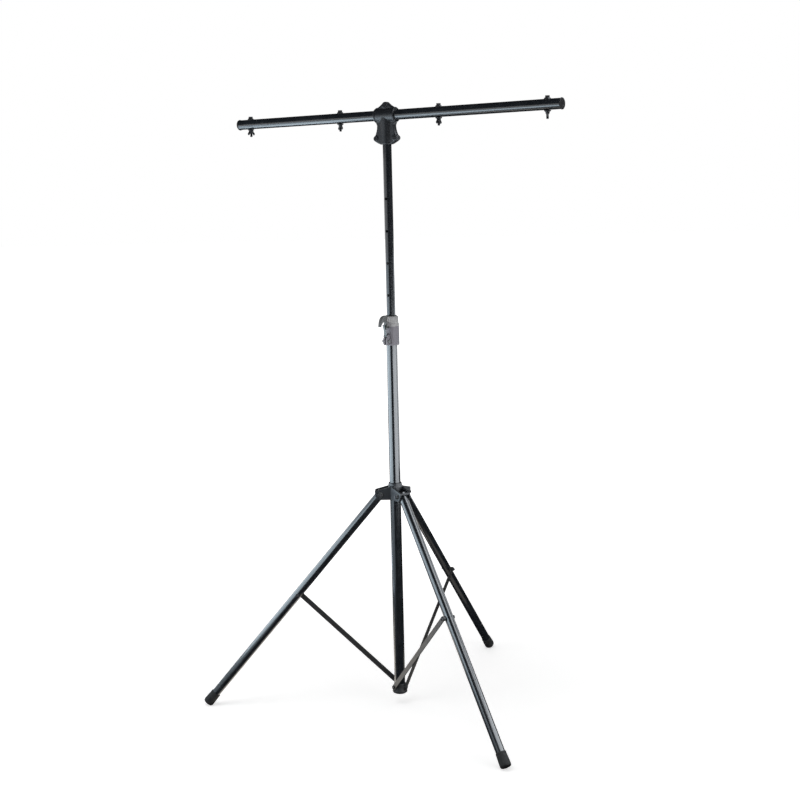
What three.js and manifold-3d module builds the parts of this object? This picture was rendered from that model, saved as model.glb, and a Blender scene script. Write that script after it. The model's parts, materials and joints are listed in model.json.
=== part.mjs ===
// Lighting stand with a T-bar: a telescopic mast on a folding tripod, carrying a crossbar with four lamp bolts.
// Millimetres, +Z up. The mast's axis is Z, and the origin is the middle of the flat face under the mast.
// Azimuths are turned from +X towards +Y. The left leg of the photographed view lies along -X.

import * as THREE from 'three';
import { mergeVertices } from 'three/addons/utils/BufferGeometryUtils.js';
import Module from 'manifold-3d';

const wasm = await Module();
wasm.setup();

const DEG = Math.PI / 180;

// Fits and facets
const GAP = 0.3;
const OVERRUN = 5;
const WELD = 1e-4;
const TUBE_SIDES = 20;
const CAST_SIDES = 18;
const BOSS_SIDES = 12;
const PIN_SIDES = 8;
const CURVE_STEPS = 4;
const ROUND_STEPS = 3;

// Where the stand's parts stand round and along the mast
const LEG_AZIMUTHS = [180 * DEG, -60 * DEG, 60 * DEG];
const FRONT_AZIMUTH = -123 * DEG;
const KNOB_AZIMUTH = 120 * DEG;

// Lower mast tube
const LOWER_MAST_RADIUS = 17.5;
const LOWER_MAST_WALL = 2;

// Foot casting that closes the mast and carries the braces
const FOOT_PLUG_RADIUS = 24.2;
const FOOT_PLUG_FACE_RADIUS = 20;
const FOOT_PLUG_RIM_LOW = 4;
const FOOT_PLUG_RIM_HIGH = 9;
const FOOT_PLUG_NECK_RADIUS = 20.4;
const FOOT_PLUG_NECK_HEIGHT = 20;
const FOOT_PLUG_SOLID_HEIGHT = 27.7;
const FOOT_PLUG_TOP = 33;
const FOOT_PLUG_EDGE = 2;
const FOOT_PLUG_LIP = 1.6;
const BRACE_FLAT = 20;
const BRACE_FLAT_LOW = 11;
const BRACE_PIVOT_HEIGHT = 21;

// Upper mast tube, with the row of holes for the index pin
const UPPER_MAST_RADIUS = 14;
const UPPER_MAST_WALL = 2;
const UPPER_MAST_BOTTOM = 628;
const PIN_HOLE_RADIUS = 4.5;
const PIN_HOLE_PITCH = 100;
const PIN_HOLES_UP = 4;
const PIN_HOLES_DOWN = 4;
const GUIDE_SKIRT_LENGTH = 14;
const GUIDE_PLUG_LENGTH = 20;

// Clamp at the joint of the two tubes. Its heights are drops from its top, or rises and drops from the index pin.
const CLAMP_TOP = 1240;
const CLAMP_HEIGHT = 92;
const CLAMP_HALF_WIDTH = 21;
const CLAMP_CORNER = 12;
const CLAMP_HEAD_RADIUS = 22.6;
const CLAMP_HEAD_HEIGHT = 32;
const CLAMP_HEAD_OVERLAP = 10;
const CLAMP_HEAD_CHAMFER = 2;
const CLAMP_BORE_WALL = 1.6;
const LEVER_PIVOT_DROP = 8;
const INDEX_PIN_DROP = 26;
const BUSH_ABOVE_PIN = 11;
const BUSH_FLANGE_RADIUS = 17.4;
const BUSH_FLANGE = 2.2;
const MAST_BELOW_PIN = 14;
const SLIT_WIDTH = 4;
const SLIT_BELOW_MAST = 4;
const LUG_THICKNESS = 6;
const LUG_REACH = 37;
const LUG_BELOW_PIN = 32;
const LUG_SET_UP = 3;
const PINCH_BOLT_REACH = 29;
const SPRING_EAR_RADIUS = 4;
const SPRING_EAR_THICKNESS = 3.5;
const SPRING_PIN_REACH = 31;
const SPRING_PIN_RADIUS = 1.5;
const CHEEK_THICKNESS = 3.4;
const CHEEK_EYE_RADIUS = 7.6;

// Lever, index pin and leaf spring of the clamp
const LEVER_PIVOT_REACH = 29;
const LEVER_HALF_WIDTH = 5.8;
const LEVER_EYE_RADIUS = 6;
const LEVER_PIN_RADIUS = 2.5;
const LEVER_CROWN = [1, 12];
const LEVER_KNUCKLE = [31, -1];
const LEVER_KNUCKLE_PULL = [23, 13];
const LEVER_TIP = [36.5, -22];
const LEVER_TIP_PULL = [35, -9];
const LEVER_TIP_WIDTH = 3;
const LEVER_UNDERSIDE = [9, -8.5];
const LEVER_UNDERSIDE_PULL = [27, -5];
const TINE_THICKNESS = 3;
const TINE_PAST_PIN = 3;
const TINE_SET_BACK = 1.2;
const INDEX_PIN_RADIUS = 3.8;
const INDEX_HEAD_REACH = 34;
const INDEX_HEAD_RADIUS = 7;
const INDEX_HEAD_RIM = 2;
const INDEX_HEAD_DOME = 2.5;
const LEAF_THICKNESS = 1.2;
const LEAF_WIDTH = 7;
const LEAF_EYE_RADIUS = 3;
const LEAF_PAST_PIN = 8;
const LEAF_CURL = 3;

// Crosspiece: two half castings clamped round the mast and the bar
const BAR_HEIGHT = 1862;
const HEAD_SPLIT = 0.6;
const HEAD_SLEEVE_WALL = 4.4;
const HEAD_SLEEVE_DROP = 89;
const HEAD_COLLAR_WALL = 5;
const HEAD_COLLAR_HALF = 38;
const HEAD_LIP_WALL = 6.6;
const HEAD_LIP_WIDTH = 6;
const HEAD_WEB_HALF = 9;
const HEAD_WALL_OVER_MAST = 3;
const HUMP_RISE = 29;
const HUMP_RADIUS = 12;
const HUMP_FOOT = [27, 24.6];
const HUMP_PULL = [16, 30];
const SHOULDER = [36, 23.6];
const WAIST = [31.5, -31];
const WAIST_TOP = [37.6, -17];
const WAIST_PULL = [31, -50];
const EAR_REACH = 35;
const EAR_DROP = 70;
const EAR_RADIUS = 10;
const EAR_FOOT_PULL = [30, -85];
const HEAD_BOSS_RADIUS = 8.6;
const HEAD_BOSS_HALF = 12;
const COUNTERBORE_RADIUS = 6.3;
const COUNTERBORE_DEPTH = 4.6;
const HEAD_BOLT_CAP_RADIUS = 5;

// Crossbar and what hangs lamps on it. The bar is clamped a little off its middle, as photographed.
const BAR_RADIUS = 16;
const BAR_WALL = 2;
const BAR_HALF_LENGTH = 600;
const BAR_OFFSET = 7;
const LAMP_BOLT_INSET = 45;
const LAMP_BOLT_SHARES = [-1, -1 / 3, 1 / 3, 1];
const BAR_CAP_LIP = 1.4;
const BAR_CAP_THICKNESS = 4;
const BAR_CAP_PLUG_LENGTH = 16;
const BAR_CAP_ROUND = 1.6;
const SADDLE_RADIUS = 10.5;
const SADDLE_TOP_RADIUS = 8;
const SADDLE_WRAP = 4;
const SADDLE_THICKNESS = 3.6;
const LAMP_BOLT_BELOW_BAR = 25;
const WING_FLANGE_RADIUS = 10.5;
const WING_FLANGE = 2.6;
const WING_HUB_RADIUS = 6.4;
const WING_HUB_LENGTH = 11;
const WING_REACH = 17;
const WING_DROP = 8;
const WING_THICKNESS = 3.2;
const WING_WIDTH = 9;
const WING_TURNS = [-90 * DEG, -30 * DEG, -85 * DEG, -55 * DEG];

// Hub that slides on the lower mast and carries the legs
const HUB_PIVOT_HEIGHT = 667;
const HUB_PIVOT_REACH = 48;
const HUB_RADIUS = 23.5;
const HUB_BORE_RADIUS = 19.3;
const HUB_BELOW_PIVOT = 16;
const HUB_ABOVE_PIVOT = 38;
const HUB_SHOULDER = 12;
const HUB_SHOULDER_RADIUS = 20.6;
const FORK_PLATE = 4;
const FORK_ROOT = 14;
const FORK_SPOT_RADIUS = 9.6;
const FORK_SIDE_CLEARANCE = 0.5;
const FORK_END_RADIUS = 16.5;
const FORK_OUTER_RISE = 13;
const FORK_INNER_RISE = 30;
const FORK_LIP_THICKNESS = 3;
const FORK_REACH_PAST_PIVOT = 17.5;
const KNOB_BOSS_RADIUS = 9;
const KNOB_BOSS_REACH = 31;
const KNOB_ABOVE_PIVOT = 3;
const KNOB_SCREW_RADIUS = 4;
const KNOB_START = 36;
const KNOB_LENGTH = 15;
const KNOB_RADIUS = 14;
const KNOB_LOBE = 1.8;
const KNOB_LOBES = 5;
const KNOB_LOBE_STEPS = 6;
const KNOB_NECK_RADIUS = 8;
const KNOB_NECK_LENGTH = 4;

// Legs
const LEG_SPREAD = 40.3 * DEG;
const LEG_RADIUS = 14;
const LEG_WALL = 1.5;
const LEG_LENGTH = 909.6;
const LEG_STUB = 10;
const LEG_CAP_FLANGE = 2;
const LEG_CAP_DEPTH = 26;
const FOOT_RADIUS = 17.2;
const FOOT_NECK_RADIUS = 15.3;
const FOOT_BEAD_RADIUS = 16.2;
const FOOT_LENGTH = 46;
const FOOT_SOLE = 9;
const FOOT_ROUND = 6.5;
const FOOT_BEAD = 5;
const FOOT_TREAD = 1.2;

// Braces and their bolts
const BRACE_BOLT_DISTANCE = 430;
const BRACE_WIDTH = 16;
const BRACE_THICKNESS = 3;
const BRACE_BOLT_BITE = 12;

// Bolts: shank radius, hexagon corner radius and head thickness
const M8 = { shank: 4, corner: 7.5, head: 5.3, nut: 6.4 };
const M6 = { shank: 3, corner: 5.8, head: 4, nut: 5 };
const WASHER = { radius: 8.6, thickness: 1.6 };

// Places that follow from the sizes above
const CLAMP_BOTTOM = CLAMP_TOP - CLAMP_HEIGHT;
const CLAMP_HEAD_BOTTOM = CLAMP_TOP - CLAMP_HEAD_HEIGHT;
const CLAMP_BODY_TOP = CLAMP_HEAD_BOTTOM + CLAMP_HEAD_OVERLAP;
const CLAMP_BORE_RADIUS = UPPER_MAST_RADIUS + CLAMP_BORE_WALL;
const LEVER_PIVOT_HEIGHT = CLAMP_TOP - LEVER_PIVOT_DROP;
const INDEX_PIN_HEIGHT = LEVER_PIVOT_HEIGHT - INDEX_PIN_DROP;
const BUSH_BOTTOM = INDEX_PIN_HEIGHT + BUSH_ABOVE_PIN;
const LOWER_MAST_TOP = INDEX_PIN_HEIGHT - MAST_BELOW_PIN;
const SLIT_TOP = LOWER_MAST_TOP - SLIT_BELOW_MAST;
const LUG_TOP = INDEX_PIN_HEIGHT - LUG_BELOW_PIN;
const LUG_BOTTOM = CLAMP_BOTTOM + LUG_SET_UP;
const PINCH_BOLT_HEIGHT = (LUG_BOTTOM + LUG_TOP) / 2;
const SPRING_PIN_HEIGHT = LUG_TOP + SPRING_EAR_RADIUS;
const TINE_DROP = INDEX_PIN_DROP + TINE_PAST_PIN;
const LEAF_RISE = INDEX_PIN_HEIGHT - SPRING_PIN_HEIGHT + LEAF_PAST_PIN;
const LAMP_BOLT_PLACES = LAMP_BOLT_SHARES.map((share) => share * (BAR_HALF_LENGTH - LAMP_BOLT_INSET));
const BAR_CAP_RADIUS = BAR_RADIUS + BAR_CAP_LIP;
const HEAD_SLEEVE_RADIUS = UPPER_MAST_RADIUS + HEAD_SLEEVE_WALL;
const HEAD_COLLAR_RADIUS = BAR_RADIUS + HEAD_COLLAR_WALL;
const HEAD_LIP_RADIUS = BAR_RADIUS + HEAD_LIP_WALL;
const LOWER_MAST_BOTTOM = FOOT_PLUG_SOLID_HEIGHT + GAP;
const LOWER_MAST_BORE = LOWER_MAST_RADIUS - LOWER_MAST_WALL;
const UPPER_MAST_BORE = UPPER_MAST_RADIUS - UPPER_MAST_WALL;
const UPPER_MAST_TOP = BAR_HEIGHT - BAR_RADIUS - HEAD_WALL_OVER_MAST;
const LEG_BORE = LEG_RADIUS - LEG_WALL;
const BRACE_INNER = BRACE_FLAT + GAP;
const BRACE_OUTER = BRACE_INNER + BRACE_THICKNESS;
const FORK_INNER = LEG_RADIUS + FORK_SIDE_CLEARANCE;
const FORK_OUTER = FORK_INNER + FORK_PLATE;
const FLOOR_DROP = (LEG_LENGTH - FOOT_ROUND) * Math.cos(LEG_SPREAD)
  + (FOOT_RADIUS - FOOT_ROUND) * Math.sin(LEG_SPREAD) + FOOT_ROUND - FOOT_TREAD;
const BRACE_BOLT_REACH = HUB_PIVOT_REACH + BRACE_BOLT_DISTANCE * Math.sin(LEG_SPREAD);
const BRACE_BOLT_HEIGHT = HUB_PIVOT_HEIGHT - BRACE_BOLT_DISTANCE * Math.cos(LEG_SPREAD);
const BRACE_RISE = BRACE_BOLT_HEIGHT - BRACE_PIVOT_HEIGHT;
const BRACE_LENGTH = Math.hypot(BRACE_BOLT_REACH, BRACE_RISE);
const BRACE_SLOPE = Math.atan2(BRACE_RISE, BRACE_BOLT_REACH);

const FINISH = {
  blackTube: { color: 0x14171c, roughness: 0.32, metalness: 0.35 },
  castGraphite: { color: 0x24272c, roughness: 0.5, metalness: 0.4 },
  castGrey: { color: 0x8f9498, roughness: 0.48, metalness: 0.6 },
  blackSteel: { color: 0x23221f, roughness: 0.45, metalness: 0.5 },
  darkBolt: { color: 0x1b1d20, roughness: 0.4, metalness: 0.7 },
  zinc: { color: 0x9ba0a4, roughness: 0.35, metalness: 0.85 },
  nylon: { color: 0x0e0f11, roughness: 0.6, metalness: 0 },
  rubber: { color: 0x0b0b0c, roughness: 0.85, metalness: 0 },
};

// Solids: welding, joining and cutting

function weld(geometry) {
  const bare = geometry.clone();
  for (const name of Object.keys(bare.attributes)) if (name !== 'position') bare.deleteAttribute(name);
  const merged = mergeVertices(bare, WELD);
  const position = merged.attributes.position.array;
  const kept = [];
  for (let i = 0; i < merged.index.count; i += 3) {
    const [a, b, c] = [0, 1, 2].map((n) => merged.index.getX(i + n));
    if (a !== b && b !== c && c !== a) kept.push(a, b, c);
  }
  if (volumeOf(position, kept) < 0) kept.reverse();
  return { position, index: new Uint32Array(kept) };
}

function volumeOf(position, index) {
  const [a, b, c] = [new THREE.Vector3(), new THREE.Vector3(), new THREE.Vector3()];
  let sum = 0;
  for (let i = 0; i < index.length; i += 3) {
    a.fromArray(position, 3 * index[i]);
    b.fromArray(position, 3 * index[i + 1]);
    c.fromArray(position, 3 * index[i + 2]);
    sum += a.dot(b.cross(c));
  }
  return sum;
}

function solid(geometry) {
  const { position, index } = weld(geometry);
  return new wasm.Manifold(new wasm.Mesh({ numProp: 3, vertProperties: position, triVerts: index }));
}

function join(first, ...others) {
  return others.reduce((whole, other) => whole.add(other), first);
}

function cut(first, ...others) {
  return others.reduce((whole, other) => whole.subtract(other), first);
}

function geometryOf(body) {
  const mesh = body.getMesh();
  const flat = new THREE.BufferGeometry();
  flat.setAttribute('position', new THREE.BufferAttribute(new Float32Array(mesh.vertProperties), 3));
  flat.setIndex(new THREE.BufferAttribute(new Uint32Array(mesh.triVerts), 1));
  const faceted = flat.toNonIndexed();
  faceted.computeVertexNormals();
  return faceted;
}

// A revolved solid about Z. The outline is a list of [radius, height], on the axis at both ends or closed.
function turned(outline, sides = CAST_SIDES) {
  const points = outline.map(([radius, height]) => new THREE.Vector2(radius, height));
  const onAxis = outline[0][0] === 0 && outline.at(-1)[0] === 0;
  if (!onAxis) points.push(points[0].clone());
  return solid(new THREE.LatheGeometry(points, sides).rotateX(Math.PI / 2));
}

function rod(radius, low, high, sides = PIN_SIDES) {
  return turned([[0, low], [radius, low], [radius, high], [0, high]], sides);
}

// A bore that a pin turns in: its flats, and not its corners, stand at the radius
function turningBore(radius, low, high) {
  return rod(radius / Math.cos(Math.PI / PIN_SIDES), low, high);
}

function pipe(outer, inner, low, high, sides = TUBE_SIDES) {
  return turned([[inner, low], [outer, low], [outer, high], [inner, high]], sides);
}

function hexagon(corner, low, high) {
  return rod(corner, low, high, 6);
}

function block(low, high) {
  const size = high.map((value, i) => value - low[i]);
  const middle = high.map((value, i) => (value + low[i]) / 2);
  return solid(new THREE.BoxGeometry(...size).translate(...middle));
}

// An outline drawn in the upright plane of reach and height, given its thickness along Y from low to high
function plate(outline, low, high) {
  const flat = new THREE.ExtrudeGeometry(outline, {
    depth: high - low, bevelEnabled: false, curveSegments: CURVE_STEPS,
  });
  return solid(flat.rotateX(Math.PI / 2).translate(0, high, 0));
}

function alongX(body) {
  return body.rotate([0, 90, 0]);
}

function alongY(body) {
  return body.rotate([-90, 0, 0]);
}

function place(body, x, y, z) {
  return body.translate([x, y, z]);
}

// Scene graph

const stand = new THREE.Group();

function add(group, name, finish, body) {
  const mesh = new THREE.Mesh(geometryOf(body), new THREE.MeshStandardMaterial(FINISH[finish]));
  mesh.name = name;
  group.add(mesh);
}

function frameAt(parent, azimuth) {
  const frame = new THREE.Group();
  frame.rotation.z = azimuth;
  parent.add(frame);
  return frame;
}

// Mast

function lowerMast() {
  return pipe(LOWER_MAST_RADIUS, LOWER_MAST_BORE, LOWER_MAST_BOTTOM, LOWER_MAST_TOP);
}

// The braces swing beside three flats cut into the flared skirt of the foot casting
function mastFoot() {
  const lip = LOWER_MAST_RADIUS + GAP;
  const body = turned([
    [0, 0],
    [FOOT_PLUG_FACE_RADIUS, 0],
    [FOOT_PLUG_RADIUS, FOOT_PLUG_RIM_LOW],
    [FOOT_PLUG_RADIUS, FOOT_PLUG_RIM_HIGH],
    [FOOT_PLUG_NECK_RADIUS, FOOT_PLUG_NECK_HEIGHT],
    [lip + FOOT_PLUG_LIP, FOOT_PLUG_TOP - FOOT_PLUG_EDGE],
    [lip + FOOT_PLUG_LIP / 2, FOOT_PLUG_TOP],
    [lip, FOOT_PLUG_TOP],
    [lip, FOOT_PLUG_SOLID_HEIGHT],
    [0, FOOT_PLUG_SOLID_HEIGHT],
  ], TUBE_SIDES);
  const cuts = LEG_AZIMUTHS.flatMap((azimuth) => {
    const flat = block(
      [-FOOT_PLUG_RADIUS, -FOOT_PLUG_RADIUS - OVERRUN, BRACE_FLAT_LOW],
      [FOOT_PLUG_RADIUS, -BRACE_FLAT, FOOT_PLUG_TOP + OVERRUN],
    );
    const hole = alongY(rod(M6.shank + GAP, -BRACE_FLAT - OVERRUN, -BRACE_FLAT + BRACE_BOLT_BITE + GAP));
    return [flat, place(hole, 0, 0, BRACE_PIVOT_HEIGHT)].map((tool) => turnedTo(tool, azimuth));
  });
  return cut(body, ...cuts);
}

function turnedTo(body, azimuth) {
  return body.rotate([0, 0, azimuth / DEG]);
}

function upperMast() {
  const tube = pipe(UPPER_MAST_RADIUS, UPPER_MAST_BORE, UPPER_MAST_BOTTOM, UPPER_MAST_TOP);
  const holes = [];
  for (let n = -PIN_HOLES_DOWN; n <= PIN_HOLES_UP; n += 1) {
    const hole = alongX(rod(PIN_HOLE_RADIUS, -UPPER_MAST_RADIUS - OVERRUN, UPPER_MAST_RADIUS + OVERRUN));
    holes.push(place(hole, 0, 0, INDEX_PIN_HEIGHT + n * PIN_HOLE_PITCH));
  }
  return cut(tube, ...holes);
}

// Nylon guide pressed into the upper tube's end, running in the lower tube
function mastGuide() {
  const plug = UPPER_MAST_BORE - GAP;
  const skirt = LOWER_MAST_BORE - GAP;
  const shoulder = UPPER_MAST_BOTTOM - GAP;
  return turned([
    [0, shoulder - GUIDE_SKIRT_LENGTH],
    [skirt, shoulder - GUIDE_SKIRT_LENGTH],
    [skirt, shoulder],
    [plug, shoulder],
    [plug, shoulder + GUIDE_PLUG_LENGTH],
    [0, shoulder + GUIDE_PLUG_LENGTH],
  ], TUBE_SIDES);
}

// Clamp

function roundedSquare(half, corner) {
  const shape = new THREE.Shape();
  const inset = half - corner;
  const quarter = Math.PI / 2;
  shape.absarc(inset, inset, corner, 0, quarter);
  shape.absarc(-inset, inset, corner, quarter, 2 * quarter);
  shape.absarc(-inset, -inset, corner, 2 * quarter, 3 * quarter);
  shape.absarc(inset, -inset, corner, 3 * quarter, 4 * quarter);
  return shape;
}

function eyePlate(from, to, top, eye, radius, low, high) {
  const shape = new THREE.Shape();
  shape.moveTo(from, to);
  shape.lineTo(eye[0], eye[1] - radius);
  shape.absarc(eye[0], eye[1], radius, -Math.PI / 2, Math.PI / 2);
  shape.lineTo(from, top);
  return plate(shape, low, high);
}

function clampHousing() {
  const square = new THREE.ExtrudeGeometry(roundedSquare(CLAMP_HALF_WIDTH, CLAMP_CORNER), {
    depth: CLAMP_BODY_TOP - CLAMP_BOTTOM, bevelEnabled: false, curveSegments: CURVE_STEPS,
  });
  const body = solid(square.translate(0, 0, CLAMP_BOTTOM));
  const head = turned([
    [0, CLAMP_HEAD_BOTTOM],
    [CLAMP_HEAD_RADIUS, CLAMP_HEAD_BOTTOM],
    [CLAMP_HEAD_RADIUS, CLAMP_TOP - CLAMP_HEAD_CHAMFER],
    [CLAMP_HEAD_RADIUS - CLAMP_HEAD_CHAMFER, CLAMP_TOP],
    [0, CLAMP_TOP],
  ]);
  const wallMiddle = (CLAMP_BORE_RADIUS + CLAMP_HALF_WIDTH) / 2;
  const sides = [-1, 1].flatMap((side) => {
    const cheek = [LEVER_HALF_WIDTH + GAP, LEVER_HALF_WIDTH + GAP + CHEEK_THICKNESS];
    const lug = [SLIT_WIDTH / 2, SLIT_WIDTH / 2 + LUG_THICKNESS];
    const ear = [lug[1] - SPRING_EAR_THICKNESS, lug[1]];
    const span = (pair) => pair.map((value) => value * side).sort((a, b) => a - b);
    const pivot = [LEVER_PIVOT_REACH, LEVER_PIVOT_HEIGHT];
    const spring = [SPRING_PIN_REACH, SPRING_PIN_HEIGHT];
    const [lugLow, lugHigh] = span(lug);
    return [
      eyePlate(wallMiddle, pivot[1] - 2 * CHEEK_EYE_RADIUS, CLAMP_TOP - CLAMP_HEAD_CHAMFER, pivot,
        CHEEK_EYE_RADIUS, ...span(cheek)),
      block([wallMiddle, lugLow, LUG_BOTTOM], [LUG_REACH, lugHigh, LUG_TOP]),
      eyePlate(wallMiddle, LUG_TOP - LUG_THICKNESS, spring[1] + SPRING_EAR_RADIUS, spring,
        SPRING_EAR_RADIUS, ...span(ear)),
    ];
  });
  const whole = join(body, head, ...sides);
  const across = 2 * CLAMP_HALF_WIDTH;
  const drill = (radius, reach, height) => place(alongY(rod(radius, -across, across)), reach, 0, height);
  return cut(
    whole,
    rod(LOWER_MAST_RADIUS + GAP, CLAMP_BOTTOM - OVERRUN, LOWER_MAST_TOP + GAP, TUBE_SIDES),
    rod(CLAMP_BORE_RADIUS, CLAMP_BOTTOM, CLAMP_TOP + OVERRUN, TUBE_SIDES),
    block([0, -SLIT_WIDTH / 2, CLAMP_BOTTOM - OVERRUN], [across, SLIT_WIDTH / 2, SLIT_TOP]),
    alongX(rod(INDEX_PIN_RADIUS + 2 * GAP, 0, across)).translate([0, 0, INDEX_PIN_HEIGHT]),
    drill(M6.shank + GAP, PINCH_BOLT_REACH, PINCH_BOLT_HEIGHT),
    drill(LEVER_PIN_RADIUS + GAP, LEVER_PIVOT_REACH, LEVER_PIVOT_HEIGHT),
    drill(SPRING_PIN_RADIUS + GAP, SPRING_PIN_REACH, SPRING_PIN_HEIGHT),
  );
}

function mastBush() {
  const bore = UPPER_MAST_RADIUS + GAP;
  const seat = CLAMP_TOP + GAP;
  return turned([
    [bore, BUSH_BOTTOM],
    [CLAMP_BORE_RADIUS - GAP, BUSH_BOTTOM],
    [CLAMP_BORE_RADIUS - GAP, seat],
    [BUSH_FLANGE_RADIUS, seat],
    [BUSH_FLANGE_RADIUS, seat + BUSH_FLANGE],
    [bore, seat + BUSH_FLANGE],
  ], TUBE_SIDES);
}

// A hexagon bolt with its nut run up tight, along Y, clamping what lies between low and high
function boltAndNut(size, low, high) {
  return alongY(join(
    rod(size.shank, low - size.nut, high),
    hexagon(size.corner, high, high + size.head),
    hexagon(size.corner, low - size.nut, low),
  ));
}

function pinchBolt() {
  const grip = SLIT_WIDTH / 2 + LUG_THICKNESS + GAP;
  return place(boltAndNut(M6, -grip, grip), PINCH_BOLT_REACH, 0, PINCH_BOLT_HEIGHT);
}

function rivet(radius, half, reach, height) {
  return place(alongY(rod(radius, -half, half)), reach, 0, height);
}

function leverPin() {
  const half = LEVER_HALF_WIDTH + GAP + CHEEK_THICKNESS;
  return rivet(LEVER_PIN_RADIUS, half, LEVER_PIVOT_REACH, LEVER_PIVOT_HEIGHT);
}

function springPin() {
  return rivet(SPRING_PIN_RADIUS, SLIT_WIDTH / 2 + LUG_THICKNESS, SPRING_PIN_REACH, SPRING_PIN_HEIGHT);
}

// The hooked lever: lifted by a finger under its tip, it draws the index pin out by two tines
function lockLever() {
  const hook = new THREE.Shape();
  hook.moveTo(0, -LEVER_EYE_RADIUS);
  hook.lineTo(...LEVER_UNDERSIDE);
  hook.quadraticCurveTo(...LEVER_UNDERSIDE_PULL, LEVER_TIP[0] - LEVER_TIP_WIDTH, LEVER_TIP[1]);
  hook.lineTo(...LEVER_TIP);
  hook.quadraticCurveTo(...LEVER_TIP_PULL, ...LEVER_KNUCKLE);
  hook.quadraticCurveTo(...LEVER_KNUCKLE_PULL, ...LEVER_CROWN);
  hook.lineTo(-LEVER_EYE_RADIUS / 2, LEVER_EYE_RADIUS);
  const half = LEVER_HALF_WIDTH;
  const tineFace = INDEX_HEAD_REACH - LEVER_PIVOT_REACH - TINE_SET_BACK;
  const pinDrop = LEVER_PIVOT_HEIGHT - INDEX_PIN_HEIGHT;
  const slot = INDEX_PIN_RADIUS + GAP;
  const body = join(
    plate(hook, -half, half),
    alongY(rod(LEVER_EYE_RADIUS, -half, half, CAST_SIDES)),
    block([tineFace - TINE_THICKNESS, -half, -TINE_DROP], [tineFace, half, 0]),
  );
  const lever = cut(
    body,
    alongY(turningBore(LEVER_PIN_RADIUS + GAP, -half - OVERRUN, half + OVERRUN)),
    block([-LEVER_EYE_RADIUS, -slot, -TINE_DROP - OVERRUN], [INDEX_HEAD_REACH, slot, slot - pinDrop]),
  );
  return place(lever, LEVER_PIVOT_REACH, 0, LEVER_PIVOT_HEIGHT);
}

function indexPin() {
  const nose = UPPER_MAST_RADIUS + GAP;
  const rim = INDEX_HEAD_REACH + INDEX_HEAD_RIM;
  const pin = turned([
    [0, nose],
    [INDEX_PIN_RADIUS, nose],
    [INDEX_PIN_RADIUS, INDEX_HEAD_REACH],
    [INDEX_HEAD_RADIUS, INDEX_HEAD_REACH],
    [INDEX_HEAD_RADIUS, rim],
    [INDEX_HEAD_RADIUS / 2, rim + INDEX_HEAD_DOME - GAP],
    [0, rim + INDEX_HEAD_DOME],
  ], PIN_SIDES);
  return alongX(pin).translate([0, 0, INDEX_PIN_HEIGHT]);
}

// Flat spring that stands on its eye and presses on the pin's domed head
function leafSpring() {
  const dome = INDEX_HEAD_REACH + INDEX_HEAD_RIM + INDEX_HEAD_DOME;
  const rise = INDEX_PIN_HEIGHT - SPRING_PIN_HEIGHT - INDEX_HEAD_RADIUS / 2;
  const lean = (dome + GAP - SPRING_PIN_REACH) / rise;
  const shape = new THREE.Shape();
  const foot = LEAF_EYE_RADIUS / 2;
  shape.moveTo(foot * lean, foot);
  shape.lineTo(LEAF_RISE * lean, LEAF_RISE);
  shape.lineTo(LEAF_RISE * lean + LEAF_CURL, LEAF_RISE + LEAF_CURL / 2);
  shape.lineTo(LEAF_RISE * lean + LEAF_CURL, LEAF_RISE + LEAF_CURL / 2 - LEAF_THICKNESS);
  shape.lineTo(LEAF_RISE * lean + LEAF_THICKNESS, LEAF_RISE - LEAF_THICKNESS);
  shape.lineTo(foot * lean + LEAF_THICKNESS, foot);
  const half = LEAF_WIDTH / 2;
  const earInner = SLIT_WIDTH / 2 + LUG_THICKNESS - SPRING_EAR_THICKNESS - GAP;
  const leaf = join(
    plate(shape, -half, half),
    alongY(rod(LEAF_EYE_RADIUS, -earInner, earInner, BOSS_SIDES)),
  );
  const bore = alongY(turningBore(SPRING_PIN_RADIUS + GAP, -half - OVERRUN, half + OVERRUN));
  return place(cut(leaf, bore), SPRING_PIN_REACH, 0, SPRING_PIN_HEIGHT);
}

// Crosspiece, drawn about the middle of the bar: X along the bar, -Y its front, Z up

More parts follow.
